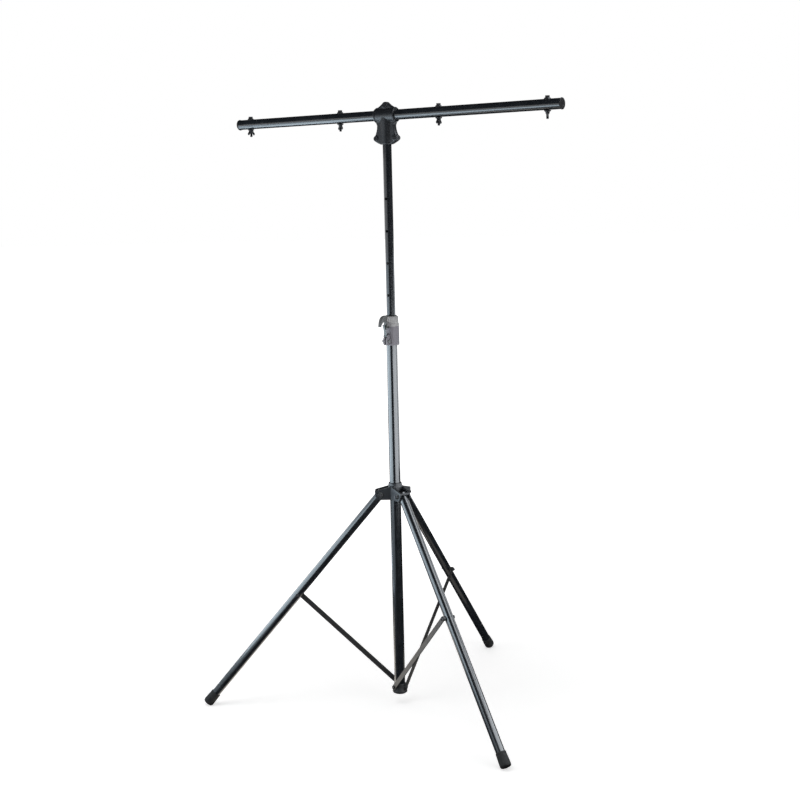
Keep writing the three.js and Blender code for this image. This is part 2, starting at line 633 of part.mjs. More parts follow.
function headWeb() {
  const shape = new THREE.Shape();
  const crownFrom = Math.PI / 4;
  const earTurn = Math.PI / 3;
  shape.absarc(0, HUMP_RISE, HUMP_RADIUS, crownFrom, Math.PI - crownFrom);
  shape.quadraticCurveTo(-HUMP_PULL[0], HUMP_PULL[1], -HUMP_FOOT[0], HUMP_FOOT[1]);
  shape.lineTo(-SHOULDER[0], SHOULDER[1]);
  shape.lineTo(-WAIST_TOP[0], WAIST_TOP[1]);
  shape.lineTo(-WAIST[0], WAIST[1]);
  shape.quadraticCurveTo(-WAIST_PULL[0], WAIST_PULL[1], -EAR_REACH - EAR_RADIUS, -EAR_DROP);
  shape.absarc(-EAR_REACH, -EAR_DROP, EAR_RADIUS, Math.PI, Math.PI + earTurn);
  shape.quadraticCurveTo(-EAR_FOOT_PULL[0], EAR_FOOT_PULL[1], -HEAD_SLEEVE_RADIUS, -HEAD_SLEEVE_DROP);
  shape.lineTo(HEAD_SLEEVE_RADIUS, -HEAD_SLEEVE_DROP);
  shape.quadraticCurveTo(EAR_FOOT_PULL[0], EAR_FOOT_PULL[1],
    EAR_REACH + EAR_RADIUS * Math.cos(earTurn), -EAR_DROP - EAR_RADIUS * Math.sin(earTurn));
  shape.absarc(EAR_REACH, -EAR_DROP, EAR_RADIUS, -earTurn, 0);
  shape.quadraticCurveTo(WAIST_PULL[0], WAIST_PULL[1], WAIST[0], WAIST[1]);
  shape.lineTo(WAIST_TOP[0], WAIST_TOP[1]);
  shape.lineTo(SHOULDER[0], SHOULDER[1]);
  shape.lineTo(HUMP_FOOT[0], HUMP_FOOT[1]);
  shape.quadraticCurveTo(HUMP_PULL[0], HUMP_PULL[1],
    HUMP_RADIUS * Math.cos(crownFrom), HUMP_RISE + HUMP_RADIUS * Math.sin(crownFrom));
  return plate(shape, -HEAD_WEB_HALF, HEAD_WEB_HALF);
}

const HEAD_BOLTS = [[0, HUMP_RISE], [-EAR_REACH, -EAR_DROP], [EAR_REACH, -EAR_DROP]];

function headCasting() {
  const lips = [-1, 1].map((side) => {
    const ends = [HEAD_COLLAR_HALF - HEAD_LIP_WIDTH, HEAD_COLLAR_HALF].map((x) => x * side);
    return alongX(rod(HEAD_LIP_RADIUS, Math.min(...ends), Math.max(...ends), CAST_SIDES));
  });
  const boss = alongY(rod(HEAD_BOSS_RADIUS, -HEAD_BOSS_HALF, HEAD_BOSS_HALF, BOSS_SIDES));
  const bosses = HEAD_BOLTS.map(([x, z]) => place(boss, x, 0, z));
  const whole = join(
    headWeb(),
    alongX(rod(HEAD_COLLAR_RADIUS, -HEAD_COLLAR_HALF, HEAD_COLLAR_HALF, CAST_SIDES)),
    rod(HEAD_SLEEVE_RADIUS, -HEAD_SLEEVE_DROP, 0, CAST_SIDES),
    ...lips,
    ...bosses,
  );
  const seat = HEAD_BOSS_HALF - COUNTERBORE_DEPTH;
  const drilled = HEAD_BOLTS.flatMap(([x, z]) => [
    alongY(rod(M6.shank + GAP, -HEAD_BOSS_HALF - OVERRUN, HEAD_BOSS_HALF + OVERRUN)),
    alongY(rod(COUNTERBORE_RADIUS, -HEAD_BOSS_HALF - OVERRUN, -seat, BOSS_SIDES)),
    alongY(rod(COUNTERBORE_RADIUS, seat, HEAD_BOSS_HALF + OVERRUN, BOSS_SIDES)),
  ].map((tool) => place(tool, x, 0, z)));
  return cut(
    whole,
    alongX(rod(BAR_RADIUS + GAP, -HEAD_COLLAR_HALF - OVERRUN, HEAD_COLLAR_HALF + OVERRUN, TUBE_SIDES)),
    rod(UPPER_MAST_RADIUS + GAP, -HEAD_SLEEVE_DROP - OVERRUN, UPPER_MAST_TOP - BAR_HEIGHT + GAP, TUBE_SIDES),
    ...drilled,
  );
}

function headHalf(side) {
  const reach = 2 * HEAD_SLEEVE_DROP;
  const faces = [HEAD_SPLIT / 2, reach].map((y) => y * side);
  const room = block([-reach, Math.min(...faces), -reach], [reach, Math.max(...faces), reach]);
  return headCasting().intersect(room);
}

function headBolt() {
  const seat = HEAD_BOSS_HALF - COUNTERBORE_DEPTH + GAP;
  return alongY(join(
    rod(M6.shank, -seat, seat + M6.nut),
    rod(HEAD_BOLT_CAP_RADIUS, -seat - M6.head, -seat, BOSS_SIDES),
    hexagon(M6.corner, seat, seat + M6.nut - GAP),
  ));
}

// Crossbar, its end caps and its lamp bolts, drawn about the middle of the bar

function crossbar() {
  const tube = alongX(pipe(BAR_RADIUS, BAR_RADIUS - BAR_WALL, -BAR_HALF_LENGTH, BAR_HALF_LENGTH));
  const holes = LAMP_BOLT_PLACES.map((x) =>
    rod(M8.shank + 2 * GAP, -BAR_RADIUS - OVERRUN, BAR_RADIUS + OVERRUN).translate([x, 0, 0]));
  return cut(tube, ...holes);
}

function barCap(side) {
  const bore = BAR_RADIUS - BAR_WALL - GAP;
  const seat = BAR_HALF_LENGTH + GAP;
  const cap = turned([
    [0, seat - BAR_CAP_PLUG_LENGTH],
    [bore, seat - BAR_CAP_PLUG_LENGTH],
    [bore, seat],
    [BAR_CAP_RADIUS, seat],
    [BAR_CAP_RADIUS, seat + BAR_CAP_THICKNESS - BAR_CAP_ROUND],
    [BAR_CAP_RADIUS - BAR_CAP_ROUND, seat + BAR_CAP_THICKNESS],
    [0, seat + BAR_CAP_THICKNESS],
  ], TUBE_SIDES);
  return alongX(cap).rotate([0, 0, side > 0 ? 0 : 180]);
}

function lampBolt() {
  const seat = BAR_RADIUS + GAP;
  const saddle = turned([
    [0, seat - SADDLE_WRAP],
    [SADDLE_RADIUS, seat - SADDLE_WRAP],
    [SADDLE_RADIUS, seat],
    [SADDLE_TOP_RADIUS, seat + SADDLE_THICKNESS],
    [0, seat + SADDLE_THICKNESS],
  ], BOSS_SIDES);
  return join(
    cut(saddle, alongX(rod(seat, -SADDLE_RADIUS - OVERRUN, SADDLE_RADIUS + OVERRUN, TUBE_SIDES))),
    hexagon(M8.corner, seat + SADDLE_THICKNESS, seat + SADDLE_THICKNESS + M8.head),
    rod(M8.shank, -BAR_RADIUS - LAMP_BOLT_BELOW_BAR, seat + SADDLE_THICKNESS),
  );
}

function wingNut() {
  const top = -BAR_RADIUS - GAP;
  const shape = new THREE.Shape();
  const hub = WING_HUB_RADIUS / 2;
  const low = top - WING_HUB_LENGTH;
  shape.moveTo(hub, top - WING_FLANGE);
  shape.lineTo(WING_REACH - WING_WIDTH / 2, top - WING_DROP);
  shape.absarc(WING_REACH - WING_WIDTH / 2, low - WING_DROP + WING_WIDTH / 2, WING_WIDTH / 2,
    Math.PI / 2, -Math.PI / 2, true);
  shape.lineTo(hub, low);
  const wing = plate(shape, -WING_THICKNESS / 2, WING_THICKNESS / 2);
  const body = join(
    turned([
      [0, low],
      [WING_HUB_RADIUS - WING_FLANGE / 2, low],
      [WING_HUB_RADIUS, top - 2 * WING_FLANGE],
      [WING_FLANGE_RADIUS, top - WING_FLANGE],
      [WING_FLANGE_RADIUS, top],
      [0, top],
    ], BOSS_SIDES),
    wing,
    wing.rotate([0, 0, 180]),
  );
  return cut(body, turningBore(M8.shank + GAP, low - OVERRUN, top + OVERRUN));
}

// Hub

// Two cheeks that leave the sleeve as tangents and close in on the leg
function forkCheeks() {
  const profile = new THREE.Shape();
  const reach = HUB_PIVOT_REACH + FORK_REACH_PAST_PIVOT;
  profile.moveTo(0, HUB_PIVOT_HEIGHT - HUB_BELOW_PIVOT);
  profile.absarc(HUB_PIVOT_REACH, HUB_PIVOT_HEIGHT, FORK_END_RADIUS, -Math.PI / 2, -Math.PI / 9);
  profile.lineTo(reach, HUB_PIVOT_HEIGHT);
  profile.lineTo(reach, HUB_PIVOT_HEIGHT + FORK_OUTER_RISE);
  profile.lineTo(0, HUB_PIVOT_HEIGHT + FORK_INNER_RISE);
  const plan = new THREE.Shape();
  plan.moveTo(0, -HUB_RADIUS);
  plan.lineTo(reach, -FORK_OUTER);
  plan.lineTo(reach, FORK_OUTER);
  plan.lineTo(0, HUB_RADIUS);
  const height = HUB_BELOW_PIVOT + HUB_ABOVE_PIVOT;
  const wedge = new THREE.ExtrudeGeometry(plan, { depth: height + OVERRUN, bevelEnabled: false });
  const spot = rod(FORK_SPOT_RADIUS, FORK_OUTER, HUB_RADIUS + OVERRUN, BOSS_SIDES);
  const spots = [alongY(spot), alongY(spot.rotate([180, 0, 0]))];
  return cut(
    plate(profile, -HUB_RADIUS, HUB_RADIUS).intersect(solid(wedge.translate(0, 0, HUB_BOTTOM - OVERRUN / 2))),
    block([FORK_ROOT, -FORK_INNER, HUB_BOTTOM - OVERRUN], [reach + OVERRUN, FORK_INNER, HUB_TOP]),
    ...spots.map((tool) => place(tool, HUB_PIVOT_REACH, 0, HUB_PIVOT_HEIGHT)),
  );
}

// The lip across the fork's end stops the leg when it is spread
function forkLip() {
  const reach = HUB_PIVOT_REACH + FORK_REACH_PAST_PIVOT;
  const inner = reach - FORK_LIP_THICKNESS;
  const clear = LEG_RADIUS + FORK_SIDE_CLEARANCE;
  const rise = (clear - (inner - HUB_PIVOT_REACH) * Math.cos(LEG_SPREAD)) / Math.sin(LEG_SPREAD);
  return block(
    [inner, -FORK_OUTER, HUB_PIVOT_HEIGHT + rise],
    [reach, FORK_OUTER, HUB_PIVOT_HEIGHT + FORK_OUTER_RISE],
  );
}

const HUB_BOTTOM = HUB_PIVOT_HEIGHT - HUB_BELOW_PIVOT;
const HUB_TOP = HUB_PIVOT_HEIGHT + HUB_ABOVE_PIVOT;
const KNOB_HEIGHT = HUB_PIVOT_HEIGHT + KNOB_ABOVE_PIVOT;

function hub() {
  const sleeve = turned([
    [0, HUB_BOTTOM],
    [HUB_RADIUS, HUB_BOTTOM],
    [HUB_RADIUS, HUB_TOP - HUB_SHOULDER],
    [HUB_SHOULDER_RADIUS, HUB_TOP],
    [0, HUB_TOP],
  ]);
  const forks = LEG_AZIMUTHS.map((azimuth) => {
    const fork = join(forkCheeks(), forkLip());
    const hole = alongY(rod(M8.shank + GAP, -FORK_OUTER - OVERRUN, FORK_OUTER + OVERRUN));
    return turnedTo(cut(fork, place(hole, HUB_PIVOT_REACH, 0, HUB_PIVOT_HEIGHT)), azimuth);
  });
  const boss = alongX(rod(KNOB_BOSS_RADIUS, HUB_BORE_RADIUS, KNOB_BOSS_REACH, BOSS_SIDES));
  const bore = alongX(turningBore(KNOB_SCREW_RADIUS + GAP, 0, KNOB_BOSS_REACH + OVERRUN));
  return cut(
    join(sleeve, ...forks, turnedTo(boss.translate([0, 0, KNOB_HEIGHT]), KNOB_AZIMUTH)),
    rod(HUB_BORE_RADIUS, HUB_BOTTOM - OVERRUN, HUB_TOP + OVERRUN, TUBE_SIDES),
    turnedTo(bore.translate([0, 0, KNOB_HEIGHT]), KNOB_AZIMUTH),
  );
}

function hubBush() {
  const sleeve = pipe(HUB_BORE_RADIUS - GAP, LOWER_MAST_RADIUS + GAP, HUB_BOTTOM + GAP, HUB_TOP - GAP);
  const window = alongX(turningBore(KNOB_SCREW_RADIUS + GAP, 0, HUB_RADIUS));
  return cut(sleeve, turnedTo(window.translate([0, 0, KNOB_HEIGHT]), KNOB_AZIMUTH));
}

function legPivotBolt() {
  const grip = FORK_OUTER + GAP;
  const end = grip + WASHER.thickness;
  const washer = rod(WASHER.radius, grip, end, BOSS_SIDES);
  const bolt = join(boltAndNut(M8, -end, end), alongY(washer), alongY(washer.rotate([180, 0, 0])));
  return place(bolt, HUB_PIVOT_REACH, 0, HUB_PIVOT_HEIGHT);
}

function knobScrew() {
  const screw = rod(KNOB_SCREW_RADIUS, LOWER_MAST_RADIUS + GAP, KNOB_START + KNOB_LENGTH / 2);
  return alongX(screw).translate([0, 0, KNOB_HEIGHT]);
}

function knobHandle() {
  const shape = new THREE.Shape();
  const steps = KNOB_LOBES * KNOB_LOBE_STEPS;
  for (let n = 0; n < steps; n += 1) {
    const angle = (2 * Math.PI * n) / steps;
    const radius = KNOB_RADIUS - KNOB_LOBE + KNOB_LOBE * Math.cos(KNOB_LOBES * angle);
    const point = [radius * Math.cos(angle), radius * Math.sin(angle)];
    if (n) shape.lineTo(...point);
    else shape.moveTo(...point);
  }
  const grip = new THREE.ExtrudeGeometry(shape, { depth: KNOB_LENGTH, bevelEnabled: false });
  const body = join(
    solid(grip.translate(0, 0, KNOB_START)),
    rod(KNOB_NECK_RADIUS, KNOB_START - KNOB_NECK_LENGTH, KNOB_START + GAP, BOSS_SIDES),
  );
  const socket = rod(KNOB_SCREW_RADIUS + GAP, 0, KNOB_START + KNOB_LENGTH / 2 + GAP);
  return alongX(cut(body, socket)).translate([0, 0, KNOB_HEIGHT]);
}

// Legs, drawn about their pivot with the leg hanging down -Z

function legTube() {
  const foot = -LEG_LENGTH + FOOT_SOLE + GAP;
  const tube = pipe(LEG_RADIUS, LEG_BORE, foot, LEG_STUB - LEG_CAP_FLANGE - GAP);
  const across = LEG_RADIUS + OVERRUN;
  return cut(
    tube,
    alongY(turningBore(M8.shank + GAP, -across, across)),
    alongY(rod(M6.shank + GAP, -across, across)).translate([0, 0, -BRACE_BOLT_DISTANCE]),
  );
}

function legCap() {
  const seat = LEG_STUB - LEG_CAP_FLANGE;
  const cap = turned([
    [0, seat - LEG_CAP_DEPTH],
    [LEG_BORE - GAP, seat - LEG_CAP_DEPTH],
    [LEG_BORE - GAP, seat],
    [LEG_RADIUS, seat],
    [LEG_RADIUS, LEG_STUB],
    [0, LEG_STUB],
  ], TUBE_SIDES);
  return cut(cap, alongY(turningBore(M8.shank + GAP, -LEG_RADIUS, LEG_RADIUS)));
}

// Rubber foot, trimmed level with the floor as the leg is spread
function rubberFoot() {
  const sole = -LEG_LENGTH;
  const top = sole + FOOT_LENGTH;
  const outline = [
    [0, sole],
    [FOOT_RADIUS - FOOT_ROUND, sole],
  ];
  for (let n = 1; n <= ROUND_STEPS; n += 1) {
    const angle = (n * Math.PI) / (2 * ROUND_STEPS);
    outline.push([
      FOOT_RADIUS - FOOT_ROUND + FOOT_ROUND * Math.sin(angle),
      sole + FOOT_ROUND - FOOT_ROUND * Math.cos(angle),
    ]);
  }
  outline.push(
    [FOOT_BEAD_RADIUS - GAP, top - FOOT_BEAD - 2 * GAP],
    [FOOT_BEAD_RADIUS, top - FOOT_BEAD],
    [FOOT_BEAD_RADIUS, top - FOOT_BEAD / 2],
    [FOOT_NECK_RADIUS, top],
    [LEG_RADIUS + GAP, top],
    [LEG_RADIUS + GAP, sole + FOOT_SOLE],
    [0, sole + FOOT_SOLE],
  );
  const underFloor = block([-LEG_LENGTH, -LEG_LENGTH, -LEG_LENGTH], [LEG_LENGTH, LEG_LENGTH, 0]);
  const floor = place(underFloor, 0, 0, -FLOOR_DROP);
  return cut(turned(outline, TUBE_SIDES), floor.rotate([0, LEG_SPREAD / DEG, 0]));
}

// The bolt ends level with its spacer, where the brace lies against it
function braceBolt() {
  const head = LEG_RADIUS + GAP;
  const bolt = alongY(join(
    rod(M6.shank, -BRACE_FLAT, head),
    hexagon(M6.corner, head, head + M6.head),
  ));
  return bolt.translate([0, 0, -BRACE_BOLT_DISTANCE]);
}

function braceSpacer() {
  const ring = pipe(LEG_RADIUS / 2, M6.shank + GAP, -BRACE_FLAT, -LEG_RADIUS - GAP, BOSS_SIDES);
  return alongY(ring).translate([0, 0, -BRACE_BOLT_DISTANCE]);
}

// Braces, drawn along +X from the pivot on the mast's foot

function brace() {
  const half = BRACE_WIDTH / 2;
  const shape = new THREE.Shape();
  shape.absarc(0, 0, half, Math.PI / 2, 1.5 * Math.PI);
  shape.absarc(BRACE_LENGTH, 0, half, -Math.PI / 2, Math.PI / 2);
  const bar = plate(shape, -BRACE_OUTER, -BRACE_INNER);
  const hole = alongY(turningBore(M6.shank + GAP, -BRACE_OUTER - OVERRUN, -BRACE_INNER + OVERRUN));
  return cut(bar, hole, hole.translate([BRACE_LENGTH, 0, 0]));
}

function braceNut() {
  return alongY(join(
    rod(M6.shank, -BRACE_OUTER - GAP - M6.nut - OVERRUN / 2, -BRACE_INNER),
    hexagon(M6.corner, -BRACE_OUTER - GAP - M6.nut, -BRACE_OUTER - GAP),
  )).translate([BRACE_LENGTH, 0, 0]);
}

function bracePivotBolt() {
  const seat = -BRACE_OUTER - GAP;
  return alongY(join(
    rod(M6.shank, seat, -BRACE_FLAT + BRACE_BOLT_BITE),
    hexagon(M6.corner, seat - M6.head, seat),
  ));
}

// Assembly

function assembleMast() {
  add(stand, 'lower_mast', 'blackTube', lowerMast());
  add(stand, 'mast_foot', 'nylon', mastFoot());
  const front = frameAt(stand, FRONT_AZIMUTH);
  add(front, 'clamp_housing', 'castGrey', clampHousing());
  add(front, 'mast_bush', 'nylon', mastBush());
  add(front, 'pinch_bolt', 'zinc', pinchBolt());
  add(front, 'lever_pin', 'zinc', leverPin());
  add(front, 'spring_pin', 'zinc', springPin());
  add(front, 'lock_lever', 'castGrey', lockLever());
  add(front, 'index_pin', 'zinc', indexPin());
  add(front, 'leaf_spring', 'zinc', leafSpring());
  add(front, 'upper_mast', 'blackTube', upperMast());
  add(front, 'mast_guide', 'nylon', mastGuide());
}

function assembleHead() {
  const head = frameAt(stand, FRONT_AZIMUTH + Math.PI / 2);
  head.position.z = BAR_HEIGHT;
  add(head, 'head_front', 'castGraphite', headHalf(-1));
  add(head, 'head_rear', 'castGraphite', headHalf(1));
  HEAD_BOLTS.forEach(([x, z], n) => add(head, `head_bolt_${n + 1}`, 'darkBolt', place(headBolt(), x, 0, z)));
  const bar = new THREE.Group();
  bar.position.x = BAR_OFFSET;
  head.add(bar);
  add(bar, 'crossbar', 'blackTube', crossbar());
  add(bar, 'bar_cap_left', 'nylon', barCap(-1));
  add(bar, 'bar_cap_right', 'nylon', barCap(1));
  LAMP_BOLT_PLACES.forEach((x, n) => {
    add(bar, `lamp_bolt_${n + 1}`, 'darkBolt', place(lampBolt(), x, 0, 0));
    add(bar, `wing_nut_${n + 1}`, 'darkBolt', place(turnedTo(wingNut(), WING_TURNS[n]), x, 0, 0));
  });
}

function assembleHub() {
  add(stand, 'hub', 'blackSteel', hub());
  add(stand, 'hub_bush', 'nylon', hubBush());
  const side = frameAt(stand, KNOB_AZIMUTH);
  add(side, 'knob_screw', 'zinc', knobScrew());
  add(side, 'hub_knob', 'nylon', knobHandle());
}

function assembleLeg(azimuth, name) {
  const frame = frameAt(stand, azimuth);
  add(frame, `leg_pivot_bolt_${name}`, 'darkBolt', legPivotBolt());
  add(frame, `brace_pivot_bolt_${name}`, 'darkBolt', place(bracePivotBolt(), 0, 0, BRACE_PIVOT_HEIGHT));
  const leg = new THREE.Group();
  leg.position.set(HUB_PIVOT_REACH, 0, HUB_PIVOT_HEIGHT);
  leg.rotation.y = -LEG_SPREAD;
  frame.add(leg);
  add(leg, `leg_tube_${name}`, 'blackTube', legTube());
  add(leg, `leg_cap_${name}`, 'nylon', legCap());
  add(leg, `rubber_foot_${name}`, 'rubber', rubberFoot());
  add(leg, `brace_bolt_${name}`, 'darkBolt', braceBolt());
  add(leg, `brace_spacer_${name}`, 'nylon', braceSpacer());
  const link = new THREE.Group();
  link.position.set(0, 0, BRACE_PIVOT_HEIGHT);
  link.rotation.y = -BRACE_SLOPE;
  frame.add(link);
  add(link, `brace_${name}`, 'blackSteel', brace());
  add(link, `brace_nut_${name}`, 'darkBolt', braceNut());
}

assembleMast();
assembleHead();
assembleHub();
LEG_AZIMUTHS.forEach((azimuth, n) => assembleLeg(azimuth, ['left', 'front', 'rear'][n]));

export default stand;
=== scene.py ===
# %% [markdown]
# # A lighting stand with a T-bar
# This notebook dresses a stand that was first drawn in CAD. The solids say where each part is and how it
# moves, so they are loaded first and stay where they are. Every finer piece below is drawn in its own
# simple frame, put where its solid is, and rides on the same body as the solid that it replaces.

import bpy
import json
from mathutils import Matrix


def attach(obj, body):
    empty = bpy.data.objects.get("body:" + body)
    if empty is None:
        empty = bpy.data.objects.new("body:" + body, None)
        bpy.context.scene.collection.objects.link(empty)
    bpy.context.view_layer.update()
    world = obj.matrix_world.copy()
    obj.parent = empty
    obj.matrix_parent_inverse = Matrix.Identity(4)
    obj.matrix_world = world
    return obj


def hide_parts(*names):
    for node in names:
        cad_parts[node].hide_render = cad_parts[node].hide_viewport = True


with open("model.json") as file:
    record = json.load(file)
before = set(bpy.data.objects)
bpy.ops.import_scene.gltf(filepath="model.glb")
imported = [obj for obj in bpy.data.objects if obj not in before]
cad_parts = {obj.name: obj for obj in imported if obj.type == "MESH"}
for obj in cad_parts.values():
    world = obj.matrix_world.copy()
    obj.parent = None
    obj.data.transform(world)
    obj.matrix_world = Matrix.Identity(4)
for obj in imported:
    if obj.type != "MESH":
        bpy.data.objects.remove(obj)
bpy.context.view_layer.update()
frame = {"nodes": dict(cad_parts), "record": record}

# %% Import what the rest needs
import json
from math import asin, atan2, cos, degrees, hypot, pi, radians, sin

import bmesh
import bpy
from mathutils import Matrix, Vector

MM = 0.001
scene = bpy.context.scene

# %% [markdown]
# ## The camera
# The camera stands where the photographer stood: chest high, four metres away, tipped down by eight degrees
# and rolled a little. Its three directions are written out as a matrix, because a fitted camera has no
# round angles. A Blender camera looks along its own -Z, so the third column is the view direction with its
# sign changed.

# %% Place the camera
CAMERA_PLACE = Vector((130.04, -4278.66, 1588.67)) * MM
CAMERA_RIGHT = Vector((0.999496, 0.021981, -0.022903))
CAMERA_UP = Vector((0.019521, 0.143314, 0.989485))
CAMERA_AHEAD = Vector((-0.025032, 0.989433, -0.142813))
CAMERA_LENS, CAMERA_SENSOR = 61.035, 36
CAMERA_REACH = 100

camera_data = bpy.data.cameras.new("camera")
camera_data.lens = CAMERA_LENS
camera_data.sensor_width = CAMERA_SENSOR
camera_data.clip_end = CAMERA_REACH
camera = bpy.data.objects.new("camera", camera_data)
scene.collection.objects.link(camera)
turn = Matrix((CAMERA_RIGHT, CAMERA_UP, -CAMERA_AHEAD)).transposed().to_4x4()
camera.matrix_world = Matrix.Translation(CAMERA_PLACE) @ turn
scene.camera = camera
print("camera tips down by", round(degrees(asin(-CAMERA_AHEAD.z)), 2), "degrees")

# %% [markdown]
# ## Floor, background and light
# The stand is black and glossy, so it is drawn almost wholly by what it reflects. Soft lamps light it
# plainly. Pale cards stand at both sides and give each tube its pale bands. Black flags in front, on the
# right, overhead and on the floor keep the dark line between the bands dark. Only reflections see the cards
# and flags. The background is white to the camera and to reflections, and the floor still takes the shadow
# of the stand.

# %% Helpers for nodes and for pieces of the stage
def fill(tree, node, inputs):
    """The node with the inputs named set to a value or linked to a socket."""
    for label, value in inputs.items():
        if isinstance(value, bpy.types.NodeSocket):
            tree.links.new(value, node.inputs[label])
        else:
            node.inputs[label].default_value = value
    return node


def add(tree, kind, inputs=None, **settings):
    """A new shader node, first set and then filled."""
    node = tree.nodes.new("ShaderNode" + kind)
    for label, value in settings.items():
        setattr(node, label, value)
    return fill(tree, node, inputs or {})


def remap(tree, value, low, high, new_low=0.0, new_high=1.0, curve="LINEAR"):
    limits = {"Value": value, "From Min": low, "From Max": high, "To Min": new_low, "To Max": new_high}
    return add(tree, "MapRange", limits, interpolation_type=curve).outputs["Result"]


def calculate(tree, operation, first, second):
    clamped = operation != "MULTIPLY"
    return add(tree, "Math", {0: first, 1: second}, operation=operation, use_clamp=clamped).outputs[0]


def light_path_mask(tree):
    """One where a camera, glossy or transmission ray looks, and zero for the light that falls on things."""
    path = add(tree, "LightPath").outputs
    mask = path["Is Camera Ray"]
    for label in ("Is Glossy Ray", "Is Transmission Ray"):
        mask = calculate(tree, "MAXIMUM", mask, path[label])
    return mask


def as_object(shape, name):
    """A new object with the shape as its mesh. The shape is freed."""
    mesh = bpy.data.meshes.new(name)
    shape.to_mesh(mesh)
    shape.free()
    piece = bpy.data.objects.new(name, mesh)
    scene.collection.objects.link(piece)
    return piece


def stage_piece(name, shape, colour):
    """A piece of the studio with a matt material. Returns the object and the material's node tree."""
    piece = as_object(shape, name)
    material = bpy.data.materials.new(name + "_paint")
    material.use_nodes = True
    piece.data.materials.append(material)
    tree = material.node_tree
    matt = {"Base Color": (*colour, 1), "Roughness": 1, "Specular IOR Level": 0}
    fill(tree, tree.nodes["Principled BSDF"], matt)
    return piece, tree


print("helpers ready")

# %% Lay the floor
FLOOR_HEIGHT = -34 * MM
FLOOR_REACH = 60
NEAR_FLOOR, FAR_FLOOR = 0.4, 2.4
NEAR_GLOW, FAR_GLOW = 0.5, 1.0
FLOOR_COLOUR = (0.9, 0.9, 0.9)

floor_shape = bmesh.new()
bmesh.ops.create_grid(floor_shape, x_segments=1, y_segments=1, size=FLOOR_REACH)
bmesh.ops.translate(floor_shape, verts=floor_shape.verts, vec=(0, 0, FLOOR_HEIGHT))
_, tree = stage_piece("floor", floor_shape, FLOOR_COLOUR)
place = add(tree, "TexCoord").outputs["Object"]
distance = add(tree, "VectorMath", {0: place}, operation="LENGTH").outputs["Value"]
glow = remap(tree, distance, NEAR_FLOOR, FAR_FLOOR, NEAR_GLOW, FAR_GLOW, "SMOOTHSTEP")
glow = calculate(tree, "MULTIPLY", glow, light_path_mask(tree))
fill(tree, tree.nodes["Principled BSDF"], {"Emission Color": (1, 1, 1, 1), "Emission Strength": glow})
print("floor at", FLOOR_HEIGHT, "m")

# %% Hang the lamps
def soft_box(name, place, aim, width, height, level):
    """A rectangular lamp at place that faces aim, seen neither by the camera nor in reflections."""
    light = bpy.data.lights.new(name, "AREA")
    light.shape = "RECTANGLE"
    light.size = width
    light.size_y = height
    light.energy = level * pi * width * height
    lamp = bpy.data.objects.new(name, light)
    scene.collection.objects.link(lamp)
    lamp.location = place
    lamp.rotation_euler = (Vector(aim) - Vector(place)).to_track_quat("-Z", "Y").to_euler()
    lamp.visible_camera = lamp.visible_glossy = False


MIDDLE, FOOT = (0, 0, 0.9), (0, 0, 0)
LAMPS = [  # name, place, aim, width, height and level
    ("left_box", (-2.75, -0.6, 0.9), MIDDLE, 2.4, 1.6, 2.2),
    ("right_box", (2.3, -2.15, 0.9), MIDDLE, 2.4, 1.6, 2.2),
    ("top_box", (-1.2, -0.8, 4), FOOT, 1.6, 1.6, 2.6),
]
for lamp in LAMPS:
    soft_box(*lamp)

# %% Hang the cards
CARD_DISTANCE, FLAG_DISTANCE, FRONT_DISTANCE = 1.3, 3, 3.5
GROUND, ROOF = -0.03, 3.4
ARC_STEPS = 10


def card(name, corners, level=0, colour=(1, 1, 1)):
    """A sheet that only reflections see, black at level 0. Its corners come in pairs, from end to end."""
    shape = bmesh.new()
    edges = [[shape.verts.new(corner) for corner in pair] for pair in corners]
    for (low, high), (next_low, next_high) in zip(edges, edges[1:]):
        shape.faces.new([low, next_low, next_high, high])
    sheet, tree = stage_piece(name, shape, (0, 0, 0))
    glow = {"Emission Color": (*colour, 1), "Emission Strength": level}
    fill(tree, tree.nodes["Principled BSDF"], glow)
    sheet.visible_camera = sheet.visible_diffuse = sheet.visible_transmission = sheet.visible_shadow = False


def curved(start, end, distance, low, high):
    """Corners of an upright sheet on an arc round the mast, between two azimuths in degrees."""
    pairs = []
    for n in range(ARC_STEPS + 1):
        azimuth = radians(start + (end - start) * n / ARC_STEPS)
        x, y = distance * cos(azimuth), distance * sin(azimuth)
        pairs.append(((x, y, low), (x, y, high)))
    return pairs


def level_sheet(x_low, x_high, y_low, y_high, height):
    return [((x, y_low, height), (x, y_high, height)) for x in (x_low, x_high)]


COOL, PALE, WARM, BLUE = (0.76, 0.9, 1), (0.9, 0.95, 1), (1, 0.94, 0.86), (0.7, 0.84, 1)
card("left_top_card", curved(150, 235, CARD_DISTANCE, 1.12, 1.36), 2, COOL)
card("left_card", curved(150, 235, CARD_DISTANCE, 0.42, 1.12), 4.8, COOL)
card("left_foot_card", curved(150, 235, CARD_DISTANCE, 0, 0.42), 0.8, COOL)
card("right_card", curved(-76, 0, CARD_DISTANCE, 0.42, 1.08), 5.2, PALE)
card("rear_card", curved(0, 50, CARD_DISTANCE, 0.5, 1.4), 1.8, PALE)
card("high_card", level_sheet(1.1, 4.6, -2.4, 1, 3.3), 5, PALE)
card("back_left_card", level_sheet(-0.95, -0.08, -0.02, 0.4, -0.02), 1.6, WARM)
card("back_right_card", level_sheet(0.1, 0.45, 0.06, 0.36, -0.02), 0.4, WARM)
card("low_card", level_sheet(-4.5, -1.2, -1.2, 1.1, 0), 6, BLUE)
card("left_flag", curved(120, 235, FLAG_DISTANCE, 1.85, ROOF))
card("front_flag", curved(-125, -76, FRONT_DISTANCE, GROUND, ROOF))
card("right_flag", curved(-76, 60, FLAG_DISTANCE, GROUND, ROOF))
